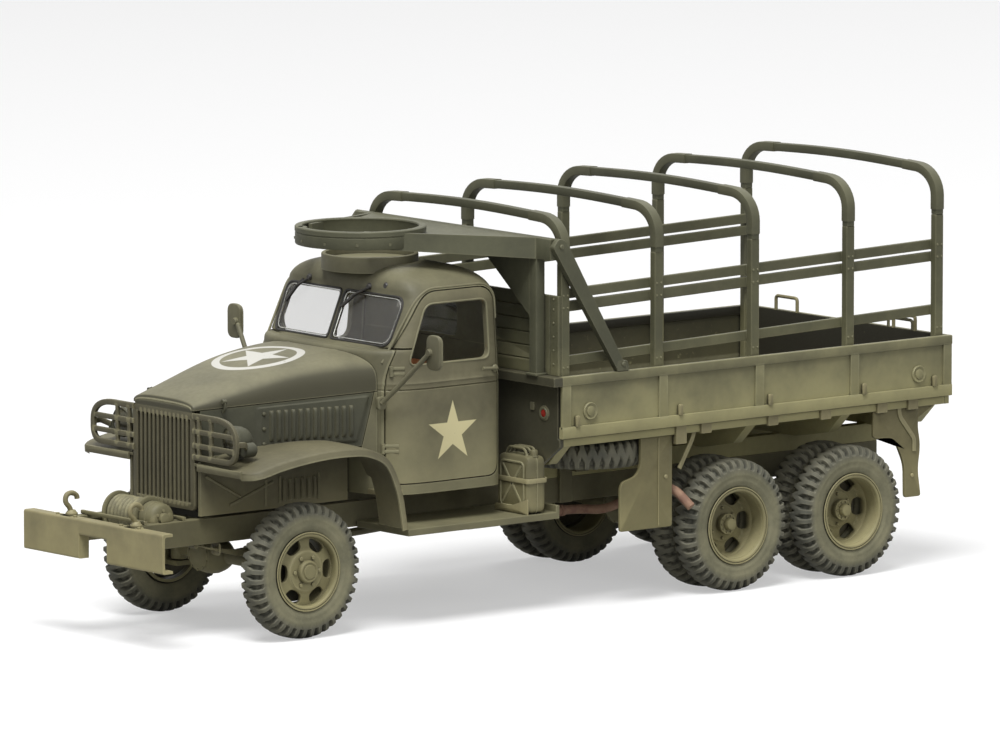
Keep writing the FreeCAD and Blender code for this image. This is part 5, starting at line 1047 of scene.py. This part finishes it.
def add_fender(form, side):
    """A fender: a line over the wheel carried outwards to a rolled lip, its front outer corner rounded in plan; a thin
    sheet between its upper and lower faces."""
    line = through([(65.4, 27.9), (59.0, 29.35), (52.0, 30.2), (46.0, 30.35), (41.4, 29.8), (37.4, 27.6), (34.9, 22.4),
                    (33.7, 16.3)], 14)
    step = np.gradient(line, axis=0)
    step /= np.linalg.norm(step, axis=1)[:, None]
    out = np.stack([step[:, 1], -step[:, 0]], -1)
    out *= np.sign(out[:, 1].mean())
    x, z = line[:, 0], line[:, 1]
    inner = np.where(z > 20.4, np.maximum(hood_half(x) + 0.15, np.where(x < 35.6, 15.6, 0)), 15.6)
    corner = 3.0
    gap = np.clip((65.4 - x) / corner, 0, 1)
    outer = 23.0 - corner * (1 - np.sqrt(1 - (1 - gap) ** 2))
    across = np.array([0, 0.15, 0.35, 0.55, 0.75, 0.88, 0.94, 0.965, 0.985, 1.0])
    roll = np.array([0, 0.0, 0.02, 0.06, 0.14, 0.24, 0.3, 0.34, 0.55, 1.5])
    y = inner[:, None] + (outer - inner)[:, None] * across[None]
    faces = []
    for deep, tuck in ((0.0, 0.0), (0.42, 0.28)):
        drop = roll + deep * np.array([1, 1, 1, 1, 1, 1, 0.95, 0.8, 0.5, 0.12])
        pull = tuck * np.array([0, 0, 0, 0, 0, 0.2, 0.5, 0.8, 1, 1])
        place = line[:, None] - out[:, None] * drop[None, :, None]
        faces.append(across_axis("y", side * (y - pull), place[..., 0], place[..., 1]))
    form.shell(faces[0], faces[1])
    form.tube([(65.35, side * 8.9, 27.3), (65.35, side * 20.1, 27.3)], bar_line(0.44, 1.15, 0.16))


def add_apron(form, side):
    """The upright wall between fender and frame, a flat sheet under the fender's line, with ribs and six louvres."""
    x = np.linspace(65.0, 35.5, 60)[:, None]
    top = np.interp(x, [35.5, 62.0, 64.2], [29.2, 28.9, 28.2])
    z = 19.55 + (top - 19.55) * np.linspace(0, 1, 14)[None]
    skin = across_axis("y", side * 9.15, x, z)
    form.shell(skin, skin - (0, side * 0.6, 0))
    for rib in ([(64.0, 25.9), (57.1, 22.0)], [(59.3, 20.8), (50.6, 23.8)],
                [(52.0, 20.0), (52.0, 24.2)], [(49.2, 20.2), (49.2, 24.6)], [(41.4, 20.2), (41.4, 24.6)]):
        form.tube(flat_line(rib, "y", side * 9.2), ring_line(0.26, 8), (0, 1, 0))
    add_louvres(form, 42.2, 22.3, 1.8, 0.45, 6, lambda x: 9.12, side)


def make_fenders():
    """Both fenders with their aprons."""
    for hand, side in hands:
        form = Form()
        add_fender(form, side)
        add_apron(form, side)
        form.made("fender_sheet_" + hand, fender_olive, "truck", "olive_paint", "fender_" + hand, angle=45)


# Winch, axles and springs

def make_winch():
    """The winch, profiles turned about its drum's axis, with gear case, feet and rails. The rope's radius is 2.3 +
    0.5 times the absolute sine of pi·along/0.9."""
    winch, rope = Form(), Form()
    for profile in ([(-5.9, 0), (-5.9, 3.1), (-5.8, 3.25), (-5.5, 3.25), (-5.4, 3.1), (-5.4, 2.1), (1.9, 2.1),
                     (1.9, 3.05), (2.0, 3.2), (2.5, 3.2), (2.6, 3.05), (2.6, 2.3), (2.8, 2.5), (3.1, 2.6), (4.4, 2.6),
                     (4.5, 2.45), (5.5, 2.4), (5.85, 2.1), (6.0, 1.6), (6.0, 1.0), (6.6, 0.95), (6.7, 0.6), (6.7, 0)],
                    [(-8.3, 0), (-8.3, 0.7), (-8.1, 0.8), (-7.0, 0.8), (-7.0, 1.5), (-6.2, 1.5), (-6.1, 1.0),
                     (-6.1, 0)]):
        winch.spun(profile, winch_centre, 40)
    for y, thick in ((-5.4, 1.1), (5.4, 3.0)):
        foot = rounded([(68.6, 18.4), (73.2, 18.4), (72.8, 20.4), (69.0, 20.4)], 0.5, 4, True)
        pillow(winch, foot, "y", y, thick)
    for x in (67.6, 75.2):
        winch.tube([(x, -8.3, 19.35), (x, 8.3, 19.35)], bar_line(0.6, 0.6, 0.12), (0, 0, 1))
    for index in range(6):
        winch.spun([(5.9, 0), (5.9, 0.26), (6.12, 0.26), (6.12, 0)],
                   wheel_points(winch_centre, 0, 1.3, index * math.pi / 3), 6)
    winch.made("winch_parts", winch_olive, "truck", "winch", "winch")
    place = np.linspace(-5.35, 1.85, 181)
    turns = 2.3 + 0.5 * np.abs(np.sin(math.pi * place / 0.9))
    rope.spun(np.stack([np.concatenate([[-5.38], place, [1.88]]), np.concatenate([[2.05], turns, [2.05]])], -1),
              winch_centre, 40)
    rope.made("winch_rope", cable_grey, "truck", "winch")


def add_axle(form, x, reach, tube, bowl_y):
    """A driven axle: its radius swells from the tube's to the housing's by (1 - (off/4.6)²)^0.8, off being the place
    along it from the housing's middle; a ribbed cover is turned about x ahead of it."""
    bowl = bowl_y + 4.6 * np.sin(np.linspace(-1, 1, 33) * math.pi / 2)[1:-1]
    y = np.concatenate([np.linspace(-reach, bowl_y - 4.6, 12), bowl, np.linspace(bowl_y + 4.6, reach, 20)])
    swell = np.clip(1 - ((y - bowl_y) / 4.6) ** 2, 0, 1)
    radius = tube + (3.15 - tube) * swell ** 0.8
    form.spun(np.stack([np.concatenate([[-reach], y, [reach]]), np.concatenate([[0], radius, [0]])], -1),
              (x, 0, axle_z), 40)
    form.spun([(0, 2.5), (2.6, 2.5), (2.75, 2.42), (2.75, 2.2), (3.0, 1.9), (3.2, 1.2), (3.28, 0)],
              (x, bowl_y, axle_z), 32, "x")
    for index in range(10):
        form.spun([(2.7, 0), (2.7, 0.2), (2.88, 0.2), (2.88, 0)],
                  wheel_points((x, bowl_y, axle_z), 0, 2.33, index * math.pi / 5, "x"), 6, "x")
    for off in (-1.6, -0.8, 0, 0.8, 1.6):
        top = 3.1 * math.sqrt(max(1 - (off / 4.6) ** 2, 0))
        arc = np.linspace(-2.2, 2.2, 17)
        rib = across_axis("y", bowl_y + off, x + top * np.cos(arc) * 0.99, axle_z + top * np.sin(arc) * 0.99)
        form.tube(rib, ring_line(0.13, 6), (0, 1, 0))


def make_axles():
    """The front axle with its kingpins, and both rear axles."""
    front_axle = Form()
    add_axle(front_axle, front_axle_x, 13.0, 1.1, -5.0)
    for side in (1, -1):
        front_axle.spun([(9.05, 0.55), (9.05, 1.25), (9.2, 1.35), (12.4, 1.35), (12.55, 1.25), (12.55, 0.55)],
                        (front_axle_x, side * 13.4, 0), 28, "z", True)
    front_axle.made("front_axle_round", frame_olive, "truck", "chassis_olive", "front_axle")
    rear_form = Form()
    for x in (mid_axle_x, rear_axle_x):
        add_axle(rear_form, x, 13.3, 1.25, -3.0)
        rear_form.spun([(-20.4, 0), (-20.4, 0.78), (20.4, 0.78), (20.4, 0)], (x, 0, axle_z), 20)
    rear_form.made("rear_axles_round", frame_olive, "truck", "chassis_olive", "rear_axles")


def make_springs():
    """Front and rear leaf springs: each leaf is a parabola, z = a ± b·p², shorter and lower than the one above it."""
    leaves = Form()
    for side in (1, -1):
        for index in range(6):
            reach = 1 - 0.15 * index
            p = np.linspace(-reach, reach, 25)
            z = 11.95 + 2.35 * p ** 2 + (1.06 - 0.2 * index) * (1 - 0.5 * p ** 2)
            leaves.tube(across_axis("y", side * front_spring_y, front_axle_x + 13.1 * p, z),
                        bar_line(1.45, 0.18, 0.04, 2))
            reach = 1 - 0.13 * index
            p = np.linspace(-reach, reach, 21)
            z = 14.25 - 2.2 * p ** 2 + 0.12 + 0.2 * index * (1 - 0.4 * p ** 2)
            leaves.tube(across_axis("y", side * rear_spring_y, rear_spring_x + 12.35 * p, z),
                        bar_line(1.45, 0.18, 0.04, 2))
        for x in (38.9, 65.1):
            leaves.spun([(-0.8, 0), (-0.8, 0.42), (0.8, 0.42), (0.8, 0)], (x, side * front_spring_y, 14.75), 14)
        for x, low in ((60.6, 13.15), (43.4, 13.15), (54.2, 11.95), (49.8, 11.95)):
            loop = plate_line((6.5, low), (8.2, low + 1.35), 0.15, 3)
            leaves.tube(flat_line(loop * (side, 1), "x", x), bar_line(0.7, 0.14, 0.04, 2), (1, 0, 0), True)
        pillow(leaves, plate_line((-46.6, 13.6), (-43.3, 18.2), 0.6, 4), "y", side * rear_spring_y, 1.5)
    leaves.made("spring_leaves", frame_olive, "truck", "chassis_olive", "leaf_springs")


def make_exhaust():
    """The exhaust pipe, a circle carried along a line with parabola bends, with its bands and hanger."""
    pipe = Form()
    line = rounded([(10.0, 7.5, 13.4), (-13.0, 7.5, 13.4), (-16.0, 11.5, 13.4), (-19.0, 17.5, 17.0),
                    (-20.3, 23.0, 18.2), (-21.7, 26.2, 15.0)], 2.2, 8)
    pipe.tube(line, ring_line(0.75, 18))
    for x in (6.5, -3.0, -10.0):
        pipe.spun([(x - 0.35, 0.8), (x - 0.3, 0.95), (x + 0.3, 0.95), (x + 0.35, 0.8)], (0, 7.5, 13.4), 18, "x")
    pipe.tube([(8.2, 7.5, 14.0), (8.2, 7.5, 14.9)], bar_line(0.7, 0.8), (1, 0, 0))
    pipe.made("exhaust_pipe", rust_brown, "truck", "rusty_metal", "exhaust")


# Bumper and hooks

def make_bumper():
    """The bumper's channel, a rounded section carried straight across and shallower in the middle, with both tow
    hooks, circles carried along bent lines."""
    bumper = Form()
    across = np.array([-18.1, -17.9, -3.66, -3.6, 3.6, 3.66, 17.9, 18.1])
    faces = []
    for inset in (0.0, 0.45):
        rows = []
        for y in across:
            low = 16.5 if abs(y) < 3.63 else 12.7
            reach = 79.4 - inset
            rows.append(rounded([(77.4, 19.0 - inset), (reach, 19.0 - inset), (reach, low + inset),
                                 (77.4, low + inset)], 0.4, 5))
        section = np.stack(rows)
        faces.append(across_axis("y", across[:, None], section[..., 0], section[..., 1]))
    bumper.shell(faces[0], faces[1])
    for side in (1, -1):
        plate = plate_line((76.6, side * 7.0), (78.9, side * 9.8), 0.4, 4)
        pillow(bumper, plate, "z", 18.75, 0.5, 0.1)
        hook = rounded([(77.3, 19.0), (77.5, 20.2), (78.5, 21.1), (78.3, 22.3), (77.2, 22.6), (76.2, 22.1),
                        (76.1, 21.5)], 0.6, 5)
        bumper.tube(flat_line(hook, "y", side * 8.4), ring_line(0.42, 10), (0, 1, 0))
        bumper.spun([(18.9, 0), (18.9, 1.0), (19.3, 1.0), (19.5, 0.8), (19.8, 0.6), (19.9, 0)], (77.2, side * 8.4, 0),
                    16, "z")
        for y in (6.0, 10.6):
            bumper.spun([(19.0, 0), (19.0, 0.3), (19.25, 0.3), (19.25, 0)], (78.3, side * y, 0), 6, "z")
    bumper.made("bumper_channel", low_olive, "truck", "dusty_olive", "front_bumper")


# Bows, ring and bed

bow_places = (3.35, -16.08, -36.45, -56.83, -76.15)
ring_middle = 25.5


def climb(x):
    """How far the racks and bows have climbed at a place along the bed."""
    return 2.1 * (3.35 - np.asarray(x, float)) / 79.5


def make_bows():
    """Five bows: a quarter circle at each side joined by a flat sine, y = 19 + 5.1·cos and z = 58.9 + 4.4·sin,
    with sleeves over their corners."""
    bows = Form()
    for x in bow_places:
        arc = np.linspace(0, math.pi / 2, 11)
        across = np.linspace(0, 1, 15)[1:]
        y = np.concatenate([[24.1], 19.0 + 5.1 * np.cos(arc), 19.0 * (1 - across)])
        z = np.concatenate([[56.2], 58.9 + 4.4 * np.sin(arc),
                            63.3 + 0.5 * np.sin(across * math.pi / 2)]) + 1.15 * float(climb(x))
        z[0] = 56.2 + float(climb(x))
        y, z = np.concatenate([y, -y[-2::-1]]), np.concatenate([z, z[-2::-1]])
        line = np.stack([y, z], -1)
        bows.tube(flat_line(line, "x", x), bar_line(1.35, 1.55, 0.16), (1, 0, 0))
        sleeve_low = 57.0 + float(climb(x))
        corner = line[(y > 16.0) & (z > sleeve_low)]
        corner = np.concatenate([[(corner[0, 0], sleeve_low)], corner])
        for sleeve in (corner, corner[::-1] * (-1, 1)):
            bows.tube(flat_line(sleeve, "x", x), bar_line(1.54, 1.76, 0.2), (1, 0, 0))
    bows.made("bow_ribs", bow_olive, "truck", "olive_paint", "bows")


def make_ring():
    """The gun ring, a profile turned about an upright axis, with bolts round it at equal turns."""
    ring = Form()
    ring.spun([(59.1, 9.5), (59.1, 10.4), (59.25, 10.5), (60.9, 10.5), (61.0, 10.4), (61.1, 10.4), (61.2, 10.55),
               (61.85, 10.55), (62.0, 10.4), (62.0, 9.45), (61.8, 9.35), (61.5, 9.5)], (ring_middle, 0, 0), 96, "z",
              True)
    for turn_at in np.linspace(0, 2 * math.pi, 13)[:-1] + 0.2:
        place = wheel_points((ring_middle, 0, 0), 0, 10.45, turn_at, "z")
        ring.spun([(59.7, 0), (59.7, 0.22), (60.1, 0.22), (60.1, 0)], place, 8, "z")
    ring.spun([(61.6, 0), (61.6, 0.9), (61.9, 0.9), (62.0, 0.7), (62.0, 0)], (ring_middle + 8.6, -4.2, 0), 20, "z")
    ring.made("ring_track", ring_olive, "truck", "olive_paint", "ring_mount")


def make_ring_carriage():
    """The tapered plate, a prism with a round hole, between cheeks in straight lines; and crossbar, legs, gussets
    and long braces, bars and rounded plates."""
    turn = np.linspace(0, 2 * math.pi, 96, endpoint=False)
    hole = np.stack([ring_middle + 9.9 * np.cos(turn), 9.9 * np.sin(turn)], -1)
    plan = [(30.4, -7.2), (30.4, 7.2), (6.8, 21.4), (6.8, -21.4)]
    plate = shaped(prism(plan, "z", 59.6, 60.5), "beam_plate", [("DIFFERENCE", prism(hole, "z", 58, 62))])
    piece_of(plate, "beam_plate", ring_olive, "truck", (), 38, 0.06)
    beam = Form()
    beam.tube([(5.9, -25.0, 58.8), (5.9, 25.0, 58.8)], bar_line(1.8, 3.4, 0.14))
    for side in (1, -1):
        run = np.linspace(0, 1, 12)[:, None]
        tall = np.linspace(0, 1, 4)[None]
        x, y = 30.4 - 23.6 * run, 7.2 + 14.3 * run
        low, high = 59.2 - 2.1 * run, 61.9 - 1.4 * run
        cheek = across_axis("y", side * y, x, low + (high - low) * tall)
        beam.shell(cheek, cheek - (0.3, side * 0.5, 0))
        beam.tube([(5.9, side * 20.6, 38.3), (5.9, side * 20.6, 57.3)], bar_line(1.8, 1.8, 0.14), (0, 1, 0))
        pillow(beam, [(side * 19.9, 57.3), (side * 7.7, 57.3), (side * 19.9, 47.7)], "x", 6.35, 0.8, 0.08)
        pillow(beam, rounded([(7.0, 59.3), (5.8, 60.7), (4.3, 60.2), (-8.6, 38.3), (-6.5, 38.3)], 0.5, 4, True), "y",
               side * 25.5, 1.1, 0.12)
        pillow(beam, plate_line((4.6, 19.2), (7.2, 22.0), 0.3, 3) * (1, side), "z", 38.45, 0.4, 0.08)
        pillow(beam, rounded([(-8.9, 38.3), (-6.2, 38.3), (-6.4, 40.0), (-8.5, 40.0)], 0.4, 4, True), "y", side * 25.5,
               1.12, 0.1)
        for place in ((-7.6, side * 26.05, 39.4), (5.3, side * 26.05, 59.3)):
            beam.spun(np.array([(-0.1, 0), (-0.1, 0.42), (0.12, 0.42), (0.25, 0.3), (0.25, 0)]) * (side, 1), place, 12)
    beam.made("ring_beam", ring_olive, "truck", "olive_paint", "ring_carriage")


def bolt(form, place, axis, radius, height):
    """A small bolt head with a rounded rim."""
    head = [(-0.1, 0), (-0.1, radius), (height * 0.6, radius), (height, radius * 0.7), (height, 0)]
    form.spun(head, place, 8, axis)


def make_rack_bolts():
    """Bolts where stakes and slats cross, each a profile turned about its own axis."""
    bolts = Form()
    for x in bow_places:
        for z in (39.6, 49.2, 51.2):
            for off in (-0.45, 0.45):
                bolt(bolts, (x + off, 24.68, z + float(climb(x)) * (z > 45)), "y", 0.2, 0.14)
    for z in (40.2, 42.4, 44.6, 46.8, 49.0, 50.6):
        for y in (-23.6, -0.6, 0.6, 23.6):
            bolt(bolts, (4.88, y, z), "x", 0.19, 0.14)
    bolts.made("rack_bolts", rack_olive, "truck", "olive_paint", mirrored=True)


def make_bed_walls():
    """Both side walls of the bed: flat plates drawn in at their edges, with rails carried straight along x and
    ribs."""
    wall = Form()
    pillow(wall, [(bed_rear_x + 0.2, 28.4), (bed_front_x - 0.2, 28.4), (bed_front_x - 0.2, 38.2),
                  (bed_rear_x + 0.2, 38.2)], "y", 25.4, 0.5, 0.05)
    wall.tube([(bed_rear_x, 25.41, 37.55), (bed_front_x, 25.41, 37.55)], bar_line(1.3, 1.5, 0.2))
    wall.tube([(bed_rear_x, 25.6, 29.25), (bed_front_x, 25.6, 29.25)], bar_line(0.92, 1.9, 0.16))
    for x in bow_places[1:-1] + (bed_front_x - 0.9, bed_rear_x + 0.9):
        pillow(wall, [(x - 0.9, 29.9), (x + 0.9, 29.9), (x + 0.9, 37.0), (x - 0.9, 37.0)], "y", 25.72, 0.5, 0.12)
    wall.made("bed_wall_panels", bed_olive, "truck", "dusty_olive", "bed_side_left", "bed_side_right", mirrored=True)


def make_bed_fittings():
    """Hooks, hangers, flap stays and handles along the bed: rounded plates, and bars carried along bent lines."""
    fit = Form()
    for x in (2.0, -19.5, -38.5, -58.7, -74.0):
        pillow(fit, plate_line((x - 0.4, 30.1), (x + 0.4, 31.9), 0.2, 3), "y", 26.1, 0.5, 0.12)
    for x, low in ((-20.1, 25.3), (-25.4, 26.6), (-39.6, 26.6), (-50.9, 26.6), (-63.1, 26.6), (-69.8, 26.6)):
        pillow(fit, plate_line((x - 1.1, low), (x + 1.1, 28.6), 0.2, 3), "y", 25.2, 1.0, 0.1)
    for path in ([(-24.2, 24.0, 27.3), (-23.8, 24.0, 25.8), (-21.0, 24.0, 21.1)],
                 [(-67.2, 24.95, 27.3), (-67.5, 24.95, 25.5), (-70.6, 24.95, 21.7), (-70.6, 24.95, 19.6)]):
        fit.tube(rounded(path, 0.7), bar_line(0.8, 0.24, 0.08), (0, 1, 0))
    for x, z in ((-17.4, 20.2), (-69.9, 22.6), (-70.2, 15.6)):
        bolt(fit, (x, 24.86, z), "y", 0.36, 0.24)
    fit.tube(rounded([(-77.2, -12.2, 38.2), (-77.2, -12.2, 40.6), (-77.2, -17.6, 40.6), (-77.2, -17.6, 38.2)], 0.6),
             ring_line(0.3, 8), (1, 0, 0))
    fit.made("bed_fittings", low_olive, "truck", "dusty_olive", mirrored=True)


def make_flaps():
    """The splash panels before and behind the rear wheels, rounded outlines drawn in at both faces."""
    flap = Form()
    front_flap = rounded([(-18.8, 26.9), (-18.8, 12.0), (-7.9, 12.0), (-7.9, 20.0), (-12.2, 20.9), (-12.2, 26.9)],
                         [0.3, 0.5, 0.5, 1.4, 2.4, 0.3], 7, True)
    rear_flap = rounded([(-61.8, 26.9), (-61.8, 22.4), (-66.4, 22.2), (-68.6, 17.5), (-68.7, 12.0), (-72.2, 12.0),
                         (-71.5, 16.5), (-72.1, 20.5), (-71.4, 24.0), (-71.9, 26.9)],
                        [0.3, 0.6, 1.4, 1.4, 0.5, 0.5, 1.5, 1.5, 1.5, 0.3], 7, True)
    for line in (front_flap, rear_flap):
        pillow(flap, line, "y", 24.6, 0.55, 0.14)
    flap.tube([(-15.9, 24.9, 12.4), (-15.9, 24.9, 26.6)], ring_line(0.16, 6), (1, 0, 0))
    skirt = [(-71.9, 28.3), (-77.8, 28.3), (-77.4, 27.6), (-72.4, 24.9), (-71.9, 25.0)]
    pillow(flap, rounded(skirt, 0.3, 4, True), "y", 23.6, 0.8, 0.1)
    flap.made("flap_sheets", flap_olive, "truck", "dusty_olive", "splash_panels", mirrored=True)


def make_reflectors():
    """Round reflectors on the bed's walls and front, profiles turned about lines along y and x."""
    marks, mark_rims, red_marks = Form(), Form(), Form()
    for x in (-0.9, -70.8):
        marks.spun([(25.6, 0), (25.6, 1.42), (25.85, 1.42), (26.0, 1.3), (25.92, 1.1), (25.86, 0.84), (26.05, 0.78),
                    (26.15, 0.4), (26.18, 0)], (x, 0, 32.4), 32)
    red_marks.spun([(5.0, 0), (5.0, 0.62), (5.25, 0.58), (5.32, 0.3), (5.34, 0)], (0, 21.4, 32.1), 24, "x")
    mark_rims.spun([(5.0, 0.6), (5.0, 1.25), (5.12, 1.22), (5.16, 0.95), (5.3, 0.85), (5.3, 0.66)], (0, 21.4, 32.1),
                   32, "x", True)
    pillow(mark_rims, plate_line((18.0, 32.3), (19.0, 33.6), 0.2, 3), "x", 5.1, 0.25, 0.08)
    red_marks.made("reflector_red", reflector_red, "truck", "lamp", mirrored=True)
    marks.made("reflector_rings", bed_olive, "truck", "dusty_olive", mirrored=True)
    mark_rims.made("reflector_rims", front_panel_shaded_olive, "truck", "dusty_olive", mirrored=True)


def make_jerrycan():
    """The jerrycan, a rounded outline drawn in at both faces, with its pressed cross, handles and cap, and the
    strap, a bar carried round a loop."""
    can = Form()
    shell_line = plate_line((14.0, 16.0), (22.0, 25.4), 1.3, 7)
    pillow(can, shell_line, "x", 7.0, 3.8, 0.7)
    middle = np.array([18, 20.7])
    can.tube(flat_line((shell_line - middle) * 0.995 + middle, "x", 7.0), bar_line(0.3, 0.22, 0.06), (1, 0, 0), True)
    for x in (5.15, 8.85):
        for ends in ([(15.6, 17.6), (20.4, 23.8)], [(15.6, 23.8), (20.4, 17.6)]):
            can.tube(flat_line(ends, "x", x), bar_line(0.5, 0.3, 0.1), (1, 0, 0))
        frame_line = plate_line((15.1, 17.1), (20.9, 24.3), 0.9, 5)
        can.tube(flat_line(frame_line, "x", x), ring_line(0.2, 6), (1, 0, 0), True)
    for x in (6.1, 7.0, 7.9):
        can.tube(rounded([(x, 15.4, 25.2), (x, 16.0, 26.45), (x, 20.0, 26.45), (x, 20.6, 25.2)], 0.7),
                 ring_line(0.24, 8), (1, 0, 0))
    can.spun([(25.2, 0), (25.2, 0.62), (26.1, 0.62), (26.3, 0.5), (26.3, 0)], (7.0, 21.2, 0), 14, "z")
    can.made("can_pressed", can_olive, "truck", "dusty_olive", "jerrycan")
    strap = Form()
    loop = plate_line((4.98, 22.12), (9.02, 14.0), 0.5, 4)
    strap.tube(flat_line(loop, "z", 21.4), bar_line(0.16, 0.8, 0.05), (0, 0, 1), True)
    pillow(strap, rounded([(13.8, 15.9), (22.15, 15.9), (22.15, 18.6), (18.0, 17.2), (13.8, 17.2)], 0.3, 3, True), "x",
           8.98, 0.2, 0.06)
    strap.made("can_strap", low_olive, "truck", "dusty_olive")


# Carried-over pieces

def dress(piece, finish, bevel):
    """A node of the frame kept in view: doubles merged, flats joined, edges rounded, and its finish put on."""
    piece.data.materials.clear()
    piece.data.materials.append(finish)
    weld = piece.modifiers.new("weld", "WELD")
    weld.merge_threshold = 2e-6
    flats = piece.modifiers.new("flats", "DECIMATE")
    flats.decimate_type, flats.angle_limit = "DISSOLVE", math.radians(1.0)
    if bevel:
        edge = piece.modifiers.new("edges", "BEVEL")
        edge.width, edge.segments, edge.limit_method, edge.angle_limit = bevel * mm, 2, "ANGLE", math.radians(34)
        edge.harden_normals = False
    even = piece.modifiers.new("even", "WEIGHTED_NORMAL")
    even.keep_sharp = False


kept_finishes = {"chassis_frame": frame_olive, "drive_shafts": frame_olive, "knuckle_left": frame_olive,
                 "knuckle_right": frame_olive, "cab_floor": low_olive, "fuel_tank": low_olive, "tailgate": bed_olive,
                 "bed_floor": bed_olive, "bed_front": front_panel_shaded_olive, "side_rack_left": rack_olive,
                 "side_rack_right": rack_olive, "front_rack": rack_olive, "window_glass": glass_clear,
                 "bench_seat": seat_brown, "radiator_core": core_dark}


def dress_kept_nodes():
    """Every node that no new piece stands in for gets its own finish, or the dark olive."""
    for node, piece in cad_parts.items():
        if not piece.hide_render:
            dress(piece, kept_finishes.get(node, upper_olive), 0 if node == "window_glass" else 0.1)


# Floor and light

def make_floor():
    """A round pale floor: radius times cosine and sine of the turn, fading out towards its edge."""
    radius = np.array([0.0, 0.3, 0.8, 1.6, 3.0, 5.0])
    turn = np.linspace(0, 2 * math.pi, 64, endpoint=False)
    flat = across_axis("z", 0.0, radius[:, None] * np.cos(turn), radius[:, None] * np.sin(turn))
    mesh = bpy.data.meshes.new("floor")
    faces = cells(6, 64, False, True)[:, ::-1]
    mesh.from_pydata(flat.reshape(-1, 3).tolist(), [], faces.tolist())
    floor = bpy.data.objects.new("floor", mesh)
    scene.collection.objects.link(floor)
    f = Finish("floor_pale")
    x, y, _ = f.axes(f.place())
    away = (x ** 2 + y ** 2) ** 0.5
    path = f.node("ShaderNodeLightPath", out="Is Camera Ray")
    shiny = f.node("ShaderNodeLightPath", out="Is Glossy Ray")
    lit = f.shade(Base_Color=f.mix(path, (0.33, 0.33, 0.32, 1), (0.9, 0.9, 0.9, 1)), Roughness=0.9)
    glow = f.node("ShaderNodeEmission", {}, {"Color": (1, 1, 1, 1), "Strength": 1.0})
    seen = f.node("ShaderNodeMixShader", {}, {0: (path + shiny) * 0.45, 1: lit, 2: glow})
    gone = f.node("ShaderNodeBsdfTransparent")
    mesh.materials.append(f.end(f.node("ShaderNodeMixShader", {}, {0: f.step(away, 1.2, 3.6), 1: seen, 2: gone})))


def make_light():
    """A white surround seen by camera, mirror and glass rays, a softer one for the rest, and three soft lamps."""
    world = bpy.data.worlds.new("surround")
    world.use_nodes = True
    scene.world = world
    f = Finish("surround_maker")
    bpy.data.materials.remove(f.material)
    f.tree = world.node_tree
    f.tree.nodes.clear()
    kinds = ("Is Camera Ray", "Is Glossy Ray", "Is Transmission Ray")
    rays = [f.node("ShaderNodeLightPath", out=kind) for kind in kinds]
    share = f.maths("MINIMUM", rays[0] + rays[1] + rays[2], 1.0)
    glow = f.node("ShaderNodeBackground", {}, {"Color": (1, 1, 1, 1), "Strength": share * 0.76 + 0.24})
    out = f.tree.nodes.new("ShaderNodeOutputWorld")
    f.tree.links.new(glow.socket, out.inputs["Surface"])
    for name, azimuth, elevation, distance, size, power in (
            ("key", 128, 64, 1.5, 0.7, 25.0), ("fill", 165, 28, 1.8, 1.2, 7.0), ("back", 300, 50, 1.6, 1.0, 6.0)):
        data = bpy.data.lights.new(name, "AREA")
        data.shape, data.size, data.energy = "DISK", size, power
        lamp = bpy.data.objects.new(name, data)
        scene.collection.objects.link(lamp)
        lamp.matrix_world = looking_in(azimuth, elevation, distance)


for make in (make_wheels, make_spare_wheel, make_cab, make_cab_trim, make_roof_collar, make_windshield, make_wipers,
             make_mirrors, make_hood, make_hood_sides, make_grille, make_lamps, make_fenders, make_winch, make_axles,
             make_springs, make_exhaust, make_bumper, make_bows, make_ring, make_ring_carriage, make_rack_bolts,
             make_bed_walls, make_bed_fittings, make_flaps, make_reflectors, make_jerrycan, dress_kept_nodes,
             make_floor, make_light):
    make()
